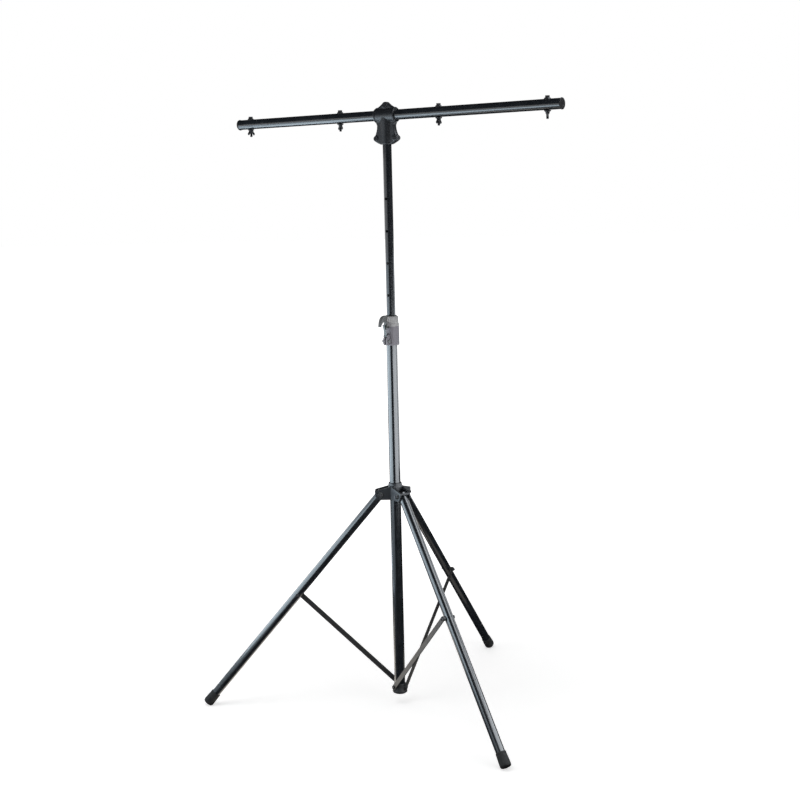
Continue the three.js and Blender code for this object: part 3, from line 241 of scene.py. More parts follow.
for name, height in (("roof_flag", ROOF), ("floor_flag", GROUND)):
    card(name, level_sheet(-6, 6, -6, 6, height))
print("cards hung")

# %% Paint the world
world = bpy.data.worlds.new("studio")
scene.world = world
world.use_nodes = True
tree = world.node_tree
tree.nodes.clear()
WORLD_LEVEL = 0.45

grey = add(tree, "Background", {"Strength": WORLD_LEVEL}).outputs[0]
white = add(tree, "Background", {"Color": (1, 1, 1, 1), "Strength": 1}).outputs[0]
choice = add(tree, "MixShader", {0: light_path_mask(tree), 1: grey, 2: white}).outputs[0]
add(tree, "OutputWorld", {"Surface": choice})
scene.view_settings.view_transform = "Standard"
print("world level", WORLD_LEVEL)

# %% [markdown]
# ## Finishes
# Each finish is a node group that takes a place on the piece and gives back a colour, a roughness and a
# normal. The shader stays in the material, where its fixed values are set. Every new piece keeps the
# coordinates that it was drawn in as an attribute, so grain and scratches follow a leaning leg as well as
# an upright mast.

# %% Helpers for node groups
def texture_group(name, inputs):
    """A node group with a Vector input and the inputs named. Returns the group and what it is given."""
    group = bpy.data.node_groups.new(name, "ShaderNodeTree")
    sockets = group.interface
    sockets.new_socket("Vector", in_out="INPUT", socket_type="NodeSocketVector")
    for label, value in inputs.items():
        kind = "Float" if isinstance(value, float) else "Color"
        sockets.new_socket(label, in_out="INPUT", socket_type="NodeSocket" + kind).default_value = value
    for label, kind in (("Color", "Color"), ("Roughness", "Float"), ("Normal", "Vector")):
        sockets.new_socket(label, in_out="OUTPUT", socket_type="NodeSocket" + kind)
    return group, group.nodes.new("NodeGroupInput").outputs


def stretched(group, source, scale):
    """The vector of source, scaled along each axis, so that a pattern can run along a piece."""
    return add(group, "Mapping", {"Vector": source, "Scale": scale}).outputs["Vector"]


def noise(group, vector, scale, detail=3, roughness=0.6):
    inputs = {"Vector": vector, "Scale": scale, "Detail": detail, "Roughness": roughness}
    return add(group, "TexNoise", inputs).outputs["Fac"]


def blend_colours(group, factor, first, second):
    inputs = {"Factor": factor, "A": first, "B": second}
    return add(group, "Mix", inputs, data_type="RGBA").outputs["Result"]


def finished(group, colour, rough, height, strength, distance):
    """The group with its three outputs joined up. The height becomes a bump."""
    bump = add(group, "Bump", {"Height": height, "Strength": strength, "Distance": distance})
    results = {"Color": colour, "Roughness": rough, "Normal": bump.outputs["Normal"]}
    fill(group, group.nodes.new("NodeGroupOutput"), results)
    return group


print("node helpers ready")

# %% [markdown]
# ### Painted tube
# Powder coat on steel tube is never quite flat: it has the faint ripple of orange peel, a little dust, and
# fine scratches along the tube from sliding and packing. The ripple is a bump, the scratches only lighten
# and roughen.

# %% The painted tube's texture
RIPPLE, HAZE, LINES, PATCHES, DUST = 420, 26, 1500, 17, 2600
PAINT_CLOUD = (0.03, 0.036, 0.045, 1)
DUST_GREY, SCRATCH_GREY = (0.22, 0.22, 0.23, 1), (0.12, 0.125, 0.135, 1)


def make_tube_group():
    paint = (0.02, 0.022, 0.026, 1)
    group, given = texture_group("tube_texture", {"Paint": paint, "Gloss": 0.2, "Scratches": 0.5})
    place = given["Vector"]
    ripple = noise(group, place, RIPPLE, 1)
    cloud = noise(group, place, HAZE, 4)
    lines = noise(group, stretched(group, place, (1, 1, 0.035)), LINES, 2)
    patches = remap(group, noise(group, place, PATCHES, 3), 0.5, 0.68)
    marks = calculate(group, "MULTIPLY", remap(group, lines, 0.63, 0.74), patches)
    marks = calculate(group, "MULTIPLY", marks, given["Scratches"])
    dust = calculate(group, "MULTIPLY", remap(group, noise(group, place, DUST, 2), 0.62, 0.8), 0.12)
    shade = remap(group, cloud, 0.3, 0.75, 0, 0.35)
    paint = blend_colours(group, shade, given["Paint"], PAINT_CLOUD)
    paint = blend_colours(group, dust, paint, DUST_GREY)
    paint = blend_colours(group, marks, paint, SCRATCH_GREY)
    rough = calculate(group, "ADD", given["Gloss"], remap(group, cloud, 0.3, 0.75, 0, 0.07))
    rough = calculate(group, "ADD", rough, calculate(group, "MULTIPLY", marks, 0.3))
    return finished(group, paint, rough, ripple, 0.03, 0.1 * MM)


tube_group = make_tube_group()
print("group:", tube_group.name, len(tube_group.nodes), "nodes")

# %% [markdown]
# ### Casting
# A casting keeps the sand-like grain of its mould, has shallow pits, and is rubbed brighter along its
# edges. The edges are found by Pointiness, which compares each vertex with its neighbours. Shade is painted
# too: hollows, where Pointiness is low, are darkened, and below a given height the piece takes its cloud
# colour as painted shade.

# %% The casting's texture
GRAINS, CLOUDS, PITS, PIT_PATCHES = 1400, 60, 420, 130
HOLLOW_SHADE = (0.015, 0.015, 0.016, 1)


def make_cast_group():
    group, given = texture_group("cast_texture", {
        "Metal": (0.4, 0.4, 0.42, 1), "Cloud And Shade": (0.07, 0.072, 0.078, 1), "Edge": (0.6, 0.6, 0.62, 1),
        "Gloss": 0.45, "Grain": 0.3, "Wear": 0.5, "Painted Shade Below": -10.0,
    })
    place = given["Vector"]
    grains = noise(group, place, GRAINS, 3, 0.7)
    cloud = noise(group, place, CLOUDS, 4)
    pits = add(group, "TexVoronoi", {"Vector": place, "Scale": PITS}).outputs["Distance"]
    pit = remap(group, pits, 0.06, 0.2, 1, 0)
    pit = calculate(group, "MULTIPLY", pit, remap(group, noise(group, place, PIT_PATCHES, 2), 0.55, 0.7))
    pointed = add(group, "NewGeometry").outputs["Pointiness"]
    edge = remap(group, pointed, 0.515, 0.58)
    edge = calculate(group, "MULTIPLY", edge, remap(group, cloud, 0.35, 0.65, 0.3, 1))
    edge = calculate(group, "MULTIPLY", edge, given["Wear"])
    # Painted shade: where Pointiness is low, in hollows and inside corners, the colour is darkened towards
    # near black.
    hollow_shade = remap(group, pointed, 0.42, 0.49, 0.45, 0)
    patches = remap(group, cloud, 0.3, 0.7, 0, 0.3)
    # Painted shade: below the height given, the whole piece takes the cloud colour.
    drawn_height = add(group, "SeparateXYZ", {"Vector": place}).outputs["Z"]
    below = calculate(group, "SUBTRACT", given["Painted Shade Below"], drawn_height)
    patches = calculate(group, "MAXIMUM", patches, remap(group, below, 0, 0.001))
    metal = blend_colours(group, patches, given["Metal"], given["Cloud And Shade"])
    metal = blend_colours(group, hollow_shade, metal, HOLLOW_SHADE)
    metal = blend_colours(group, edge, metal, given["Edge"])
    rough = calculate(group, "ADD", given["Gloss"], remap(group, grains, 0.3, 0.7, -0.05, 0.1))
    height = calculate(group, "SUBTRACT", grains, calculate(group, "MULTIPLY", pit, 0.8))
    return finished(group, metal, rough, height, given["Grain"], 0.25 * MM)


cast_group = make_cast_group()
print("group:", cast_group.name, len(cast_group.nodes), "nodes")

# %% [markdown]
# ### Moulded nylon and rubber
# Both are matt and black. What shows is the fine grain of the mould, dust in the hollows and a greyer bloom
# where the part is handled or scuffed.

# %% The moulded texture
BLOOM_CLOUD, SCUFFS = 45, 300
BLOOM_GREY, SCUFF_GREY = (0.07, 0.069, 0.068, 1), (0.12, 0.12, 0.12, 1)


def make_moulded_group():
    group, given = texture_group("moulded_texture", {
        "Body": (0.012, 0.012, 0.013, 1), "Gloss": 0.55, "Grain": 800.0, "Dust": 0.2,
    })
    place = given["Vector"]
    grain = noise(group, place, given["Grain"], roughness=0.5)
    cloud = noise(group, place, BLOOM_CLOUD, 4)
    scuff = remap(group, noise(group, stretched(group, place, (1, 1, 0.25)), SCUFFS, 4), 0.6, 0.75)
    scuff = calculate(group, "MULTIPLY", scuff, remap(group, cloud, 0.45, 0.65))
    bloom = calculate(group, "MULTIPLY", remap(group, cloud, 0.4, 0.75), given["Dust"])
    body = blend_colours(group, bloom, given["Body"], BLOOM_GREY)
    body = blend_colours(group, calculate(group, "MULTIPLY", scuff, 0.25), body, SCUFF_GREY)
    rough = calculate(group, "ADD", given["Gloss"], remap(group, cloud, 0.3, 0.7, -0.04, 0.08))
    return finished(group, body, rough, grain, 0.25, 0.2 * MM)


moulded_group = make_moulded_group()
print("group:", moulded_group.name, len(moulded_group.nodes), "nodes")

# %% [markdown]
# ### Materials
# A material puts one of the groups in front of a Principled shader. Metallic, the specular level and the
# coat are the same all over a piece, so they are set on the shader itself. The record gives each solid a
# material slot, and a piece takes the usual finish of the slot of the solid that it stands for, unless it
# names another.

# %% Make the materials
def make_material(name, group, values, own, metallic=0.0, specular=0.5, coat=0.0, coat_roughness=0.1):
    """One finish. With own, patterns read the attribute of new pieces, and otherwise Object coordinates."""
    material = bpy.data.materials.new(name)
    material.use_nodes = True
    tree = material.node_tree
    if own:
        place = add(tree, "Attribute", attribute_name="drawn").outputs["Vector"]
    else:
        place = add(tree, "TexCoord").outputs["Object"]
    texture = add(tree, "Group", {"Vector": place, **values}, node_tree=group).outputs
    fill(tree, tree.nodes["Principled BSDF"], {
        "Base Color": texture["Color"], "Roughness": texture["Roughness"], "Normal": texture["Normal"],
        "Metallic": metallic, "Specular IOR Level": specular, "Coat Weight": coat,
        "Coat Roughness": coat_roughness,
    })
    return material


BLACK_PAINT = (0.009, 0.011, 0.014, 1)
FINISHES = {  # the group, its values and the shader's own settings
    "mast_paint": (tube_group, {"Paint": BLACK_PAINT, "Gloss": 0.2}, {"coat": 1}),
    "tube_paint": (tube_group, {"Paint": BLACK_PAINT, "Gloss": 0.24}, {"coat": 0.8}),
    "graphite": (cast_group, {
        "Metal": (0.012, 0.0135, 0.017, 1), "Cloud And Shade": (0.018, 0.021, 0.026, 1),
        "Edge": (0.045, 0.05, 0.058, 1), "Gloss": 0.42, "Grain": 0.06,
    }, {"coat": 0.12, "coat_roughness": 0.3}),
    # Painted shade: below 1.2085 m the clamp's sleeve takes the darker cloud colour, as shade under its
    # head.
    "grey_casting": (cast_group, {
        "Metal": (0.43, 0.43, 0.43, 1), "Cloud And Shade": (0.235, 0.225, 0.255, 1), "Edge": (0.47, 0.47, 0.48, 1),
        "Gloss": 0.55, "Painted Shade Below": 1.2085,
    }, {"specular": 0.3}),
    "lever_metal": (cast_group, {
        "Metal": (0.12, 0.125, 0.125, 1), "Cloud And Shade": (0.07, 0.075, 0.075, 1), "Edge": (0.2, 0.2, 0.21, 1),
        "Gloss": 0.5,
    }, {"specular": 0.4}),
    "black_steel": (tube_group, {"Paint": (0.03, 0.028, 0.026, 1), "Gloss": 0.34, "Scratches": 1.0}, {}),
    "black_bolt": (cast_group, {
        "Metal": (0.022, 0.023, 0.026, 1), "Edge": (0.12, 0.12, 0.13, 1), "Gloss": 0.34, "Wear": 0.8,
    }, {"metallic": 0.4}),
    "zinc": (cast_group, {
        "Metal": (0.11, 0.12, 0.115, 1), "Edge": (0.26, 0.27, 0.27, 1), "Gloss": 0.4,
    }, {"metallic": 0.5}),
    "nylon": (moulded_group, {}, {"specular": 0.4}),
    "rubber": (moulded_group, {
        "Body": (0.009, 0.009, 0.0095, 1), "Gloss": 0.72, "Dust": 0.3,
    }, {"specular": 0.3}),
}


def finishes(tail, own):
    return {
        name: make_material(name + tail, group, values, own, **shader)
        for name, (group, values, shader) in FINISHES.items()
    }


FINISH, SOLID_FINISH = finishes("", True), finishes("_solid", False)
SLOT_FINISH = {
    "black_tube": "tube_paint", "nylon": "nylon", "cast_grey": "grey_casting", "zinc": "zinc",
    "cast_graphite": "graphite", "black_steel": "black_steel", "dark_bolt": "black_bolt", "rubber": "rubber",
}
SLOTS = {entry["node"]: entry["material_slot"] for entry in frame["record"]["subparts"]}
print("finishes:", ", ".join(FINISH))

# %% [markdown]
# ## Tools for making pieces
# Most pieces are either turned, like a bolt, or sawn from a plate, like a brace. A turned piece starts as a
# chain of edges that is spun round Z. A plate starts as one face that is extruded. Bevels then break the
# sharp edges, because nothing real has a perfectly sharp edge, and that thin line of light is what makes a
# model look made of metal.

# %% Turning and sawing
def turned(outline, steps=64):
    """A chain of (radius, height) points spun round Z. It is closed, or starts and ends on the axis."""
    shape = bmesh.new()
    verts = [shape.verts.new((radius, 0, height)) for radius, height in outline]
    edges = [shape.edges.new(pair) for pair in zip(verts, verts[1:])]
    bmesh.ops.spin(
        shape, geom=verts + edges, cent=(0, 0, 0), axis=(0, 0, 1), angle=2 * pi, steps=steps, use_merge=True
    )
    bmesh.ops.remove_doubles(shape, verts=shape.verts, dist=1e-4)
    bmesh.ops.recalc_face_normals(shape, faces=shape.faces)
    return shape


def rod(radius, low, high, steps=48):
    return turned([(0, low), (radius, low), (radius, high), (0, high)], steps)


def ring(bore, radius, low, high, steps=48):
    return turned([(bore, low), (radius, low), (radius, high), (bore, high), (bore, low)], steps)


def sawn(outline, low, high):
    """A face with corners (x, z) at y = low, extruded along Y to high."""
    shape = bmesh.new()
    face = shape.faces.new([shape.verts.new((x, low, z)) for x, z in outline])
    grown = bmesh.ops.extrude_face_region(shape, geom=[face])
    new = [part for part in grown["geom"] if isinstance(part, bmesh.types.BMVert)]
    bmesh.ops.translate(shape, verts=new, vec=(0, high - low, 0))
    bmesh.ops.recalc_face_normals(shape, faces=shape.faces)
    return shape


def broken(shape, size, segments=2, sharper_than=28):
    """The same shape with every edge sharper than the angle bevelled."""
    sharp = [edge for edge in shape.edges if edge.calc_face_angle(0) > radians(sharper_than)]
    bmesh.ops.bevel(
        shape, geom=sharp, offset=size, offset_type="OFFSET", affect="EDGES", segments=segments, profile=0.5,
        material=-1, clamp_overlap=True,
    )
    return shape


def moved(shape, *matrices):
    """The same shape after each matrix in turn."""
    for matrix in matrices:
        bmesh.ops.transform(shape, matrix=matrix, verts=shape.verts)
    return shape


def together(*shapes):
    """One bmesh that holds all the shapes."""
    whole = bmesh.new()
    for shape in shapes:
        mesh = bpy.data.meshes.new("part")
        shape.to_mesh(mesh)
        whole.from_mesh(mesh)
        bpy.data.meshes.remove(mesh)
        shape.free()
    return whole


def arc(x, z, radius, start, end, steps=10):
    """Points on an arc, with its angles in degrees."""
    angles = [radians(start + (end - start) * n / steps) for n in range(steps + 1)]
    return [(x + radius * cos(a), z + radius * sin(a)) for a in angles]


def bend(first, pull, last, steps=10):
    """Points on a curve from first to last that is pulled towards pull."""
    shares = [n / steps for n in range(steps + 1)]
    return [
        tuple((1 - t) ** 2 * a + 2 * t * (1 - t) * b + t * t * c for a, b, c in zip(first, pull, last))
        for t in shares
    ]


ALONG_X = Matrix.Rotation(pi / 2, 4, "Y")
ALONG_Y = Matrix.Rotation(-pi / 2, 4, "X")


def shifted(x, y, z):
    return Matrix.Translation((x, y, z))


def facing(azimuth):
    return Matrix.Rotation(radians(azimuth), 4, "Z")


def across(shape, x=0, z=0):
    """A shape drawn along Z laid along Y instead, then put at x and z."""
    return moved(shape, ALONG_Y, shifted(x, 0, z))


print("tools: turned, rod, ring, sawn, broken, moved, together, across")

# %% [markdown]
# ### From a shape to a piece
# A casting is built from simple overlapping solids. A voxel remesh fuses them into one skin, and smoothing
# rounds every inside corner as a mould would. Holes are cut afterwards with a Boolean, so that they stay
# crisp, as drilled.

# %% Fusing, drilling and finishing
def as_shape(piece):
    """The bmesh of an object as its modifiers leave it. The object is removed."""
    seen_by_render = piece.evaluated_get(bpy.context.evaluated_depsgraph_get())
    mesh = bpy.data.meshes.new_from_object(seen_by_render)
    shape = bmesh.new()
    shape.from_mesh(mesh)
    bpy.data.objects.remove(piece)
    bpy.data.meshes.remove(mesh)
    return shape


def fused(shape, voxel, rounds):
    """Overlapping closed shells made into one skin, then smoothed a number of rounds."""
    piece = as_object(shape, "casting")
    remesh = piece.modifiers.new("fuse", "REMESH")
    remesh.mode = "VOXEL"
    remesh.voxel_size = voxel
    smooth = piece.modifiers.new("soften", "SMOOTH")
    smooth.factor = 0.5
    smooth.iterations = rounds
    return as_shape(piece)


def combined(shape, tool, operation):
    """Shape after a Boolean with tool. Both are closed."""
    piece, other = as_object(shape, "work"), as_object(tool, "tool")
    join = piece.modifiers.new("join", "BOOLEAN")
    join.operation = operation
    join.solver = "MANIFOLD"
    join.object = other
    result = as_shape(piece)
    bpy.data.objects.remove(other)
    return result


def drilled(shape, *tools):
    """Shape with each tool cut out of it in turn."""
    for tool in tools:
        shape = combined(shape, tool, "DIFFERENCE")
    return shape


made = []
SMOOTH_UNDER = 40


def piece_from(name, shape, body, place, stands_for=(), finish=None):
    """Scales a shape from millimetres, keeps its drawn coordinates and lets it ride on body at place."""
    slot = SLOTS[stands_for[0]] if stands_for else None
    bmesh.ops.scale(shape, verts=shape.verts, vec=(MM, MM, MM))
    piece = as_object(shape, name)
    mesh = piece.data
    drawn = mesh.attributes.new("drawn", "FLOAT_VECTOR", "POINT")
    drawn.data.foreach_set("vector", [value for vert in mesh.vertices for value in vert.co])
    scaled_place = place.copy()
    scaled_place.translation *= MM
    mesh.transform(scaled_place)
    mesh.polygons.foreach_set("use_smooth", [True] * len(mesh.polygons))
    mesh.set_sharp_from_angle(angle=radians(SMOOTH_UNDER))
    mesh.materials.append(FINISH[finish or SLOT_FINISH[slot]])
    weigh = piece.modifiers.new("weigh", "WEIGHTED_NORMAL")
    weigh.keep_sharp = True
    shaded = piece.evaluated_get(bpy.context.evaluated_depsgraph_get())
    piece.data = bpy.data.meshes.new_from_object(shaded)
    piece.modifiers.clear()
    bpy.data.meshes.remove(mesh)
    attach(piece, body)
    if stands_for:
        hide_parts(*stands_for)
    made.append((name, len(piece.data.polygons)))


print("tools: fused, drilled, piece_from")

# %% [markdown]
# ## The mast
# The lower mast is plain 35 mm tube. The upper one is 28 mm and has a cross hole every 100 mm for the index
# pin. The holes are cut through both walls at once by a row of rods.

# %% The two mast tubes
LEGS = {"left": 180, "front": -60, "rear": 60}
FRONT = -123
MAST_RADIUS, MAST_WALL = 17.5, 2
UPPER_RADIUS, UPPER_WALL = 14, 2
MAST_LOW, MAST_HIGH = 28, 1192
UPPER_LOW, UPPER_HIGH = 628, 1843
CLAMP_PIN_HEIGHT, HOLE_PITCH, HOLE_RADIUS = 1206, 100, 4.5


def tube(radius, wall, low, high):
    return broken(ring(radius - wall, radius, low, high, 96), 0.4, 2, 60)


lower = tube(MAST_RADIUS, MAST_WALL, MAST_LOW, MAST_HIGH)
piece_from("lower_mast_tube", lower, "mast", facing(0), ["lower_mast"], "mast_paint")

holes = [
    moved(rod(HOLE_RADIUS, -20, 20, 32), ALONG_X, shifted(0, 0, CLAMP_PIN_HEIGHT + HOLE_PITCH * n))
    for n in range(-4, 5)
]
upper = drilled(tube(UPPER_RADIUS, UPPER_WALL, UPPER_LOW, UPPER_HIGH), together(*holes))
piece_from("upper_mast_tube", upper, "upper_mast", facing(FRONT), ["upper_mast"])
print("mast tubes made")

# %% [markdown]
# ### The foot of the mast
# A moulded foot closes the mast 34 mm above the floor. Its skirt flares and is cut by three flats, one for
# each brace. The flats are sawn off a turned blank by three blocks, then every edge is rounded.

# %% The mast foot
def cuboid(low, high):
    shape = bmesh.new()
    bmesh.ops.create_cube(shape, size=1)
    sizes = [b - a for a, b in zip(low, high)]
    bmesh.ops.scale(shape, verts=shape.verts, vec=sizes)
    bmesh.ops.translate(shape, verts=shape.verts, vec=[(a + b) / 2 for a, b in zip(low, high)])
    return shape


FOOT_OUTLINE = [
    (0, 0.9), (9, 0.9), (9.6, 0), (18.2, 0), (19.7, 0.5), (21.8, 1.9), (23.4, 3.3), (24.1, 4.7), (24.2, 6.4),
    (24, 8.2), (23, 10.6), (21.8, 14), (20.9, 17.6), (20.4, 20.4), (20.1, 24), (19.7, 28.4), (19.3, 31.4),
    (18.7, 32.6), (17.8, 33), (17.8, 27.7), (0, 27.7),
]
FLAT_REACH, FLAT_LOW = 20, 11
blank = turned(FOOT_OUTLINE, 96)
flats = [
    moved(cuboid((-30, -40, FLAT_LOW), (30, -FLAT_REACH, 60)), facing(azimuth)) for azimuth in LEGS.values()
]
foot = broken(drilled(blank, together(*flats)), 0.6, 2, 35)
piece_from("mast_foot_moulding", foot, "mast", facing(0), ["mast_foot"])
print("mast foot made")

# %% [markdown]
# ## Bolts and nuts
# A hexagon head is a six-sided prism that has been turned on a lathe, so its corners are cut to a cone.
# That is made just as in the workshop: the prism is intersected with a turned shape. The thread is a row of
# small ridges.

# %% A hexagon, a thread and a bolt
THREAD_PITCH, THREAD_DEPTH = 1.25, 0.6
COLLAR_LOW = 0.7
M6_CORNER, M8_CORNER = 5.8, 7.5


def hexagon(corner, low, high):
    """A hexagon along Z with a chamfer at its high end."""
    flat = corner * cos(pi / 6) * 0.96
    drop = (corner - flat) * 0.55
    wide = corner + 0.02
    cone = [(0, low), (corner + 1, low), (wide, low + drop), (wide, high - drop), (flat, high), (0, high)]
    return combined(rod(corner, low, high, 6), turned(cone), "INTERSECT")


def threaded(radius, low, high):
    """A rod with thread ridges and a chamfered end at low."""
    root = radius - THREAD_DEPTH
    chain = [(0, low), (root - 0.5, low), (root, low + 0.6)]
    for n in range(int((high - low - 1) / THREAD_PITCH)):
        base = low + 0.8 + n * THREAD_PITCH
        chain += [(root, base), (radius, base + THREAD_PITCH * 0.45), (radius, base + THREAD_PITCH * 0.55)]
    chain += [(root, high), (0, high)]
    return turned(chain, 32)


def lock_nut(corner, height, shank):
    """A nut from z = 0 upwards with its nylon collar, and the end of the screw showing."""
    base = height * COLLAR_LOW
    collar = turned([(0, base), (corner * 0.82, base), (corner * 0.76, height), (0, height)], 48)
    screw = threaded(shank, height - 1, height + 2.2)
    return together(hexagon(corner, 0, height * 0.8), broken(collar, 0.4), screw)


def turned_over(shape):
    return moved(shape, Matrix.Rotation(pi, 4, "X"))


print("bolt tools ready")

# %% [markdown]
# ## The hub
# The hub slides on the lower mast. Three forks hold the tops of the legs, and a lip across the end of each
# fork stops its leg when it is spread. The sleeve, the fork plates and the lips are fused into one skin
# with soft corners, and then bored.

# %% The hub casting
PIVOT_HEIGHT, PIVOT_REACH = 667, 48
HUB_LOW, HUB_HIGH = 651, 705
FORK_INNER, FORK_OUTER, FORK_END = 14.5, 18.5, 65.4
KNOB_HEIGHT = PIVOT_HEIGHT + 3
SPREAD = 40.3
LEG_RADIUS = 14


def prism(outline, low, high):
    """A plan outline of (x, y) points raised along Z from low to high."""
    return moved(sawn([(x, -y) for x, y in outline], low, high), Matrix.Rotation(pi / 2, 4, "X"))


def fork():
    """The two cheeks leave the sleeve as tangents and close in on the leg."""
    profile = [(0, HUB_LOW)] + arc(PIVOT_REACH, PIVOT_HEIGHT, 16.4, -90, -16, 12)
    profile += [(FORK_END, PIVOT_HEIGHT), (FORK_END, PIVOT_HEIGHT + 12.9), (0, PIVOT_HEIGHT + 29.9)]
    plan = [(-2, -23.6), (FORK_END + 1, -FORK_OUTER), (FORK_END + 1, FORK_OUTER), (-2, 23.6)]
    wedge = combined(sawn(profile, -30, 30), prism(plan, 600, 760), "INTERSECT")
    slot = cuboid((14, -FORK_INNER, 600), (FORK_END + 9, FORK_INNER, 760))
    cheeks = broken(drilled(wedge, slot), 0.7, 2, 25)
    rise = (LEG_RADIUS + 0.5 - FORK_INNER * cos(radians(SPREAD))) / sin(radians(SPREAD))
    lip = cuboid((62.6, -18.3, PIVOT_HEIGHT + rise + 0.2), (FORK_END, 18.3, PIVOT_HEIGHT + 12.9))
    return together(cheeks, broken(lip, 0.6))


sleeve = turned([
    (0, HUB_LOW + 0.2), (22.4, HUB_LOW + 0.2), (23.3, HUB_LOW + 1), (23.3, 692), (22.6, 695), (21, 703.6),
    (20.2, 704.8), (0, 704.8),
], 96)
knob_axis = [ALONG_X, shifted(0, 0, KNOB_HEIGHT), facing(120)]
knob_boss = moved(turned([(0, 10), (9, 10), (9, 30), (8.2, 30.8), (0, 30.8)], 48), *knob_axis)
forks = [moved(fork(), facing(azimuth)) for azimuth in LEGS.values()]
hub = fused(together(sleeve, knob_boss, *forks), 0.7, 3)
hub = drilled(hub, rod(19.3, 640, 720, 96), moved(rod(4.3, 5, 60, 32), *knob_axis))
for azimuth in LEGS.values():
    for turn in (0, pi):
        seat = moved(rod(9.6, FORK_OUTER, 30), Matrix.Rotation(turn, 4, "X"))
        hub = drilled(hub, moved(across(seat, PIVOT_REACH, PIVOT_HEIGHT), facing(azimuth)))
    bore = across(rod(4.3, -25, 25, 32), PIVOT_REACH, PIVOT_HEIGHT)
    hub = drilled(hub, moved(bore, facing(azimuth)))
piece_from("hub_casting", hub, "hub", facing(0), ["hub"], "graphite")
bush = ring(17.8, 19, HUB_LOW + 0.3, HUB_HIGH - 0.3, 96)
piece_from("hub_lining", bush, "hub", facing(0), ["hub_bush"])
print("hub made")

# %% [markdown]
# ### Leg pivots and the locking knob
# Each leg turns on a bolt across its fork. The knob on the far side has five lobes: one lobe is a short
# rounded post, and five of them round a core are fused.

# %% Pivot bolts and the knob
def cross_bolt(shank, corner, head, nut, reach, x=0, z=0):
    """A bolt along Y through x and z. Its head is beyond reach on one side, its nut on the other."""
    screw = rod(shank, -reach - 1, reach + 1, 32)
    top = moved(hexagon(corner, 0, head), shifted(0, 0, reach))
    end = moved(turned_over(lock_nut(corner, nut, shank)), shifted(0, 0, -reach))
    return across(together(screw, top, end), x, z)


WASHER_NEAR, WASHER_FAR = 18.8, 20.4
for name, azimuth in LEGS.items():
    ends = ((-WASHER_FAR, -WASHER_NEAR), (WASHER_NEAR, WASHER_FAR))
    rings = [across(broken(ring(4.2, 8.6, *pair), 0.25)) for pair in ends]
    bolt = cross_bolt(4, M8_CORNER, 5.3, 6.4, WASHER_FAR)
    place = facing(azimuth) @ shifted(PIVOT_REACH, 0, PIVOT_HEIGHT)
    piece_from(f"leg_pivot_{name}", bolt, "hub", place, [f"leg_pivot_bolt_{name}"])
    piece_from(f"leg_washers_{name}", together(*rings), "hub", place, finish="zinc")

KNOB_LOW, KNOB_HIGH, LOBES = 36.3, 50.6, 5
lobes = [
    moved(broken(rod(4.6, KNOB_LOW, KNOB_HIGH, 32), 1.6, 3), shifted(9, 0, 0), facing(360 / LOBES * n))
    for n in range(LOBES)
]
core = turned([(0, 32), (8, 32), (8, KNOB_LOW), (11.6, KNOB_LOW), (11.6, KNOB_HIGH), (0, KNOB_HIGH)], 64)
core = broken(core, 1.4, 3)
knob = fused(together(core, *lobes), 0.45, 4)
place = facing(120) @ shifted(0, 0, KNOB_HEIGHT) @ ALONG_X
piece_from("knob_grip", knob, "knob", place, ["hub_knob"])
piece_from("knob_stem", threaded(4, 17.9, 43), "knob", place, ["knob_screw"])
print("pivots and knob made")

# %% [markdown]
# ## Legs
# A leg is a tube with a nylon cap at its top and a rubber foot at its end. It is drawn hanging straight
# down from its pivot, then tilted outwards. The foot is cut level with the floor while it is in that tilted
# frame.

# %% The legs
LEG_END, LEG_WALL = -909.6, 1.5
BRACE_BOLT = -430
FLOOR = -33.986
CAP_OUTLINE = [
    (0, 9.9), (9, 9.9), (12.4, 9.5), (13.6, 8.8), (13.95, 8.2), (12.2, 7.9), (12.2, -15), (11.6, -16),
    (0, -16),
]


def leg_place(azimuth):
    pivot = facing(azimuth) @ shifted(PIVOT_REACH, 0, PIVOT_HEIGHT)
    return pivot @ Matrix.Rotation(-radians(SPREAD), 4, "Y")


def rubber_foot():
    """The foot in heights over the leg's end: a sole, two grooves, a rolled lip and the tube's seat."""
    chain = [(0, 0), (10.7, 0)] + arc(10.7, 6.5, 6.5, -80, 0, 8) + [
        (17, 14), (16.75, 14.6), (16.75, 15.6), (17, 16.2), (16.9, 22), (16.55, 22.6), (16.55, 23.6),
        (16.8, 24.2), (16, 38.6), (15.7, 39.4), (15.8, 40.2), (16.2, 40.8), (16.2, 43.4), (15.8, 45.2),
        (15.2, 46), (14.3, 46), (14.3, 9), (0, 9),
    ]
    return turned([(x, LEG_END + z) for x, z in chain], 80)


def cut_level(shape, place, height):
    """Cuts off what lies below a height of the stand's own frame, and closes the cut."""
    inverse = place.inverted()
    plane = bmesh.ops.bisect_plane(
        shape, geom=shape.verts[:] + shape.edges[:] + shape.faces[:], dist=1e-4, clear_outer=True,
        plane_co=inverse @ Vector((0, 0, height)), plane_no=inverse.to_3x3() @ Vector((0, 0, -1)),
    )
    rim = [part for part in plane["geom_cut"] if isinstance(part, bmesh.types.BMEdge)]
    bmesh.ops.contextual_create(shape, geom=rim)
    return shape


for name, azimuth in LEGS.items():
    place = leg_place(azimuth)
    body = f"leg_{name}"
    shaft = tube(LEG_RADIUS, LEG_WALL, LEG_END + 9.3, 7.7)
    piece_from(f"leg_shaft_{name}", shaft, body, place, [f"leg_tube_{name}"])
    piece_from(f"leg_top_{name}", turned(CAP_OUTLINE, 80), body, place, [f"leg_cap_{name}"])
    boot = cut_level(rubber_foot(), place, FLOOR)
    piece_from(f"leg_boot_{name}", boot, body, place, [f"rubber_foot_{name}"])
print("legs made")

# %% [markdown]
# ## Braces
# Each brace is a flat bar with round ends. It turns on a bolt in the mast foot and on another through the
# leg, where a spacer keeps it in its own plane beside the tube.

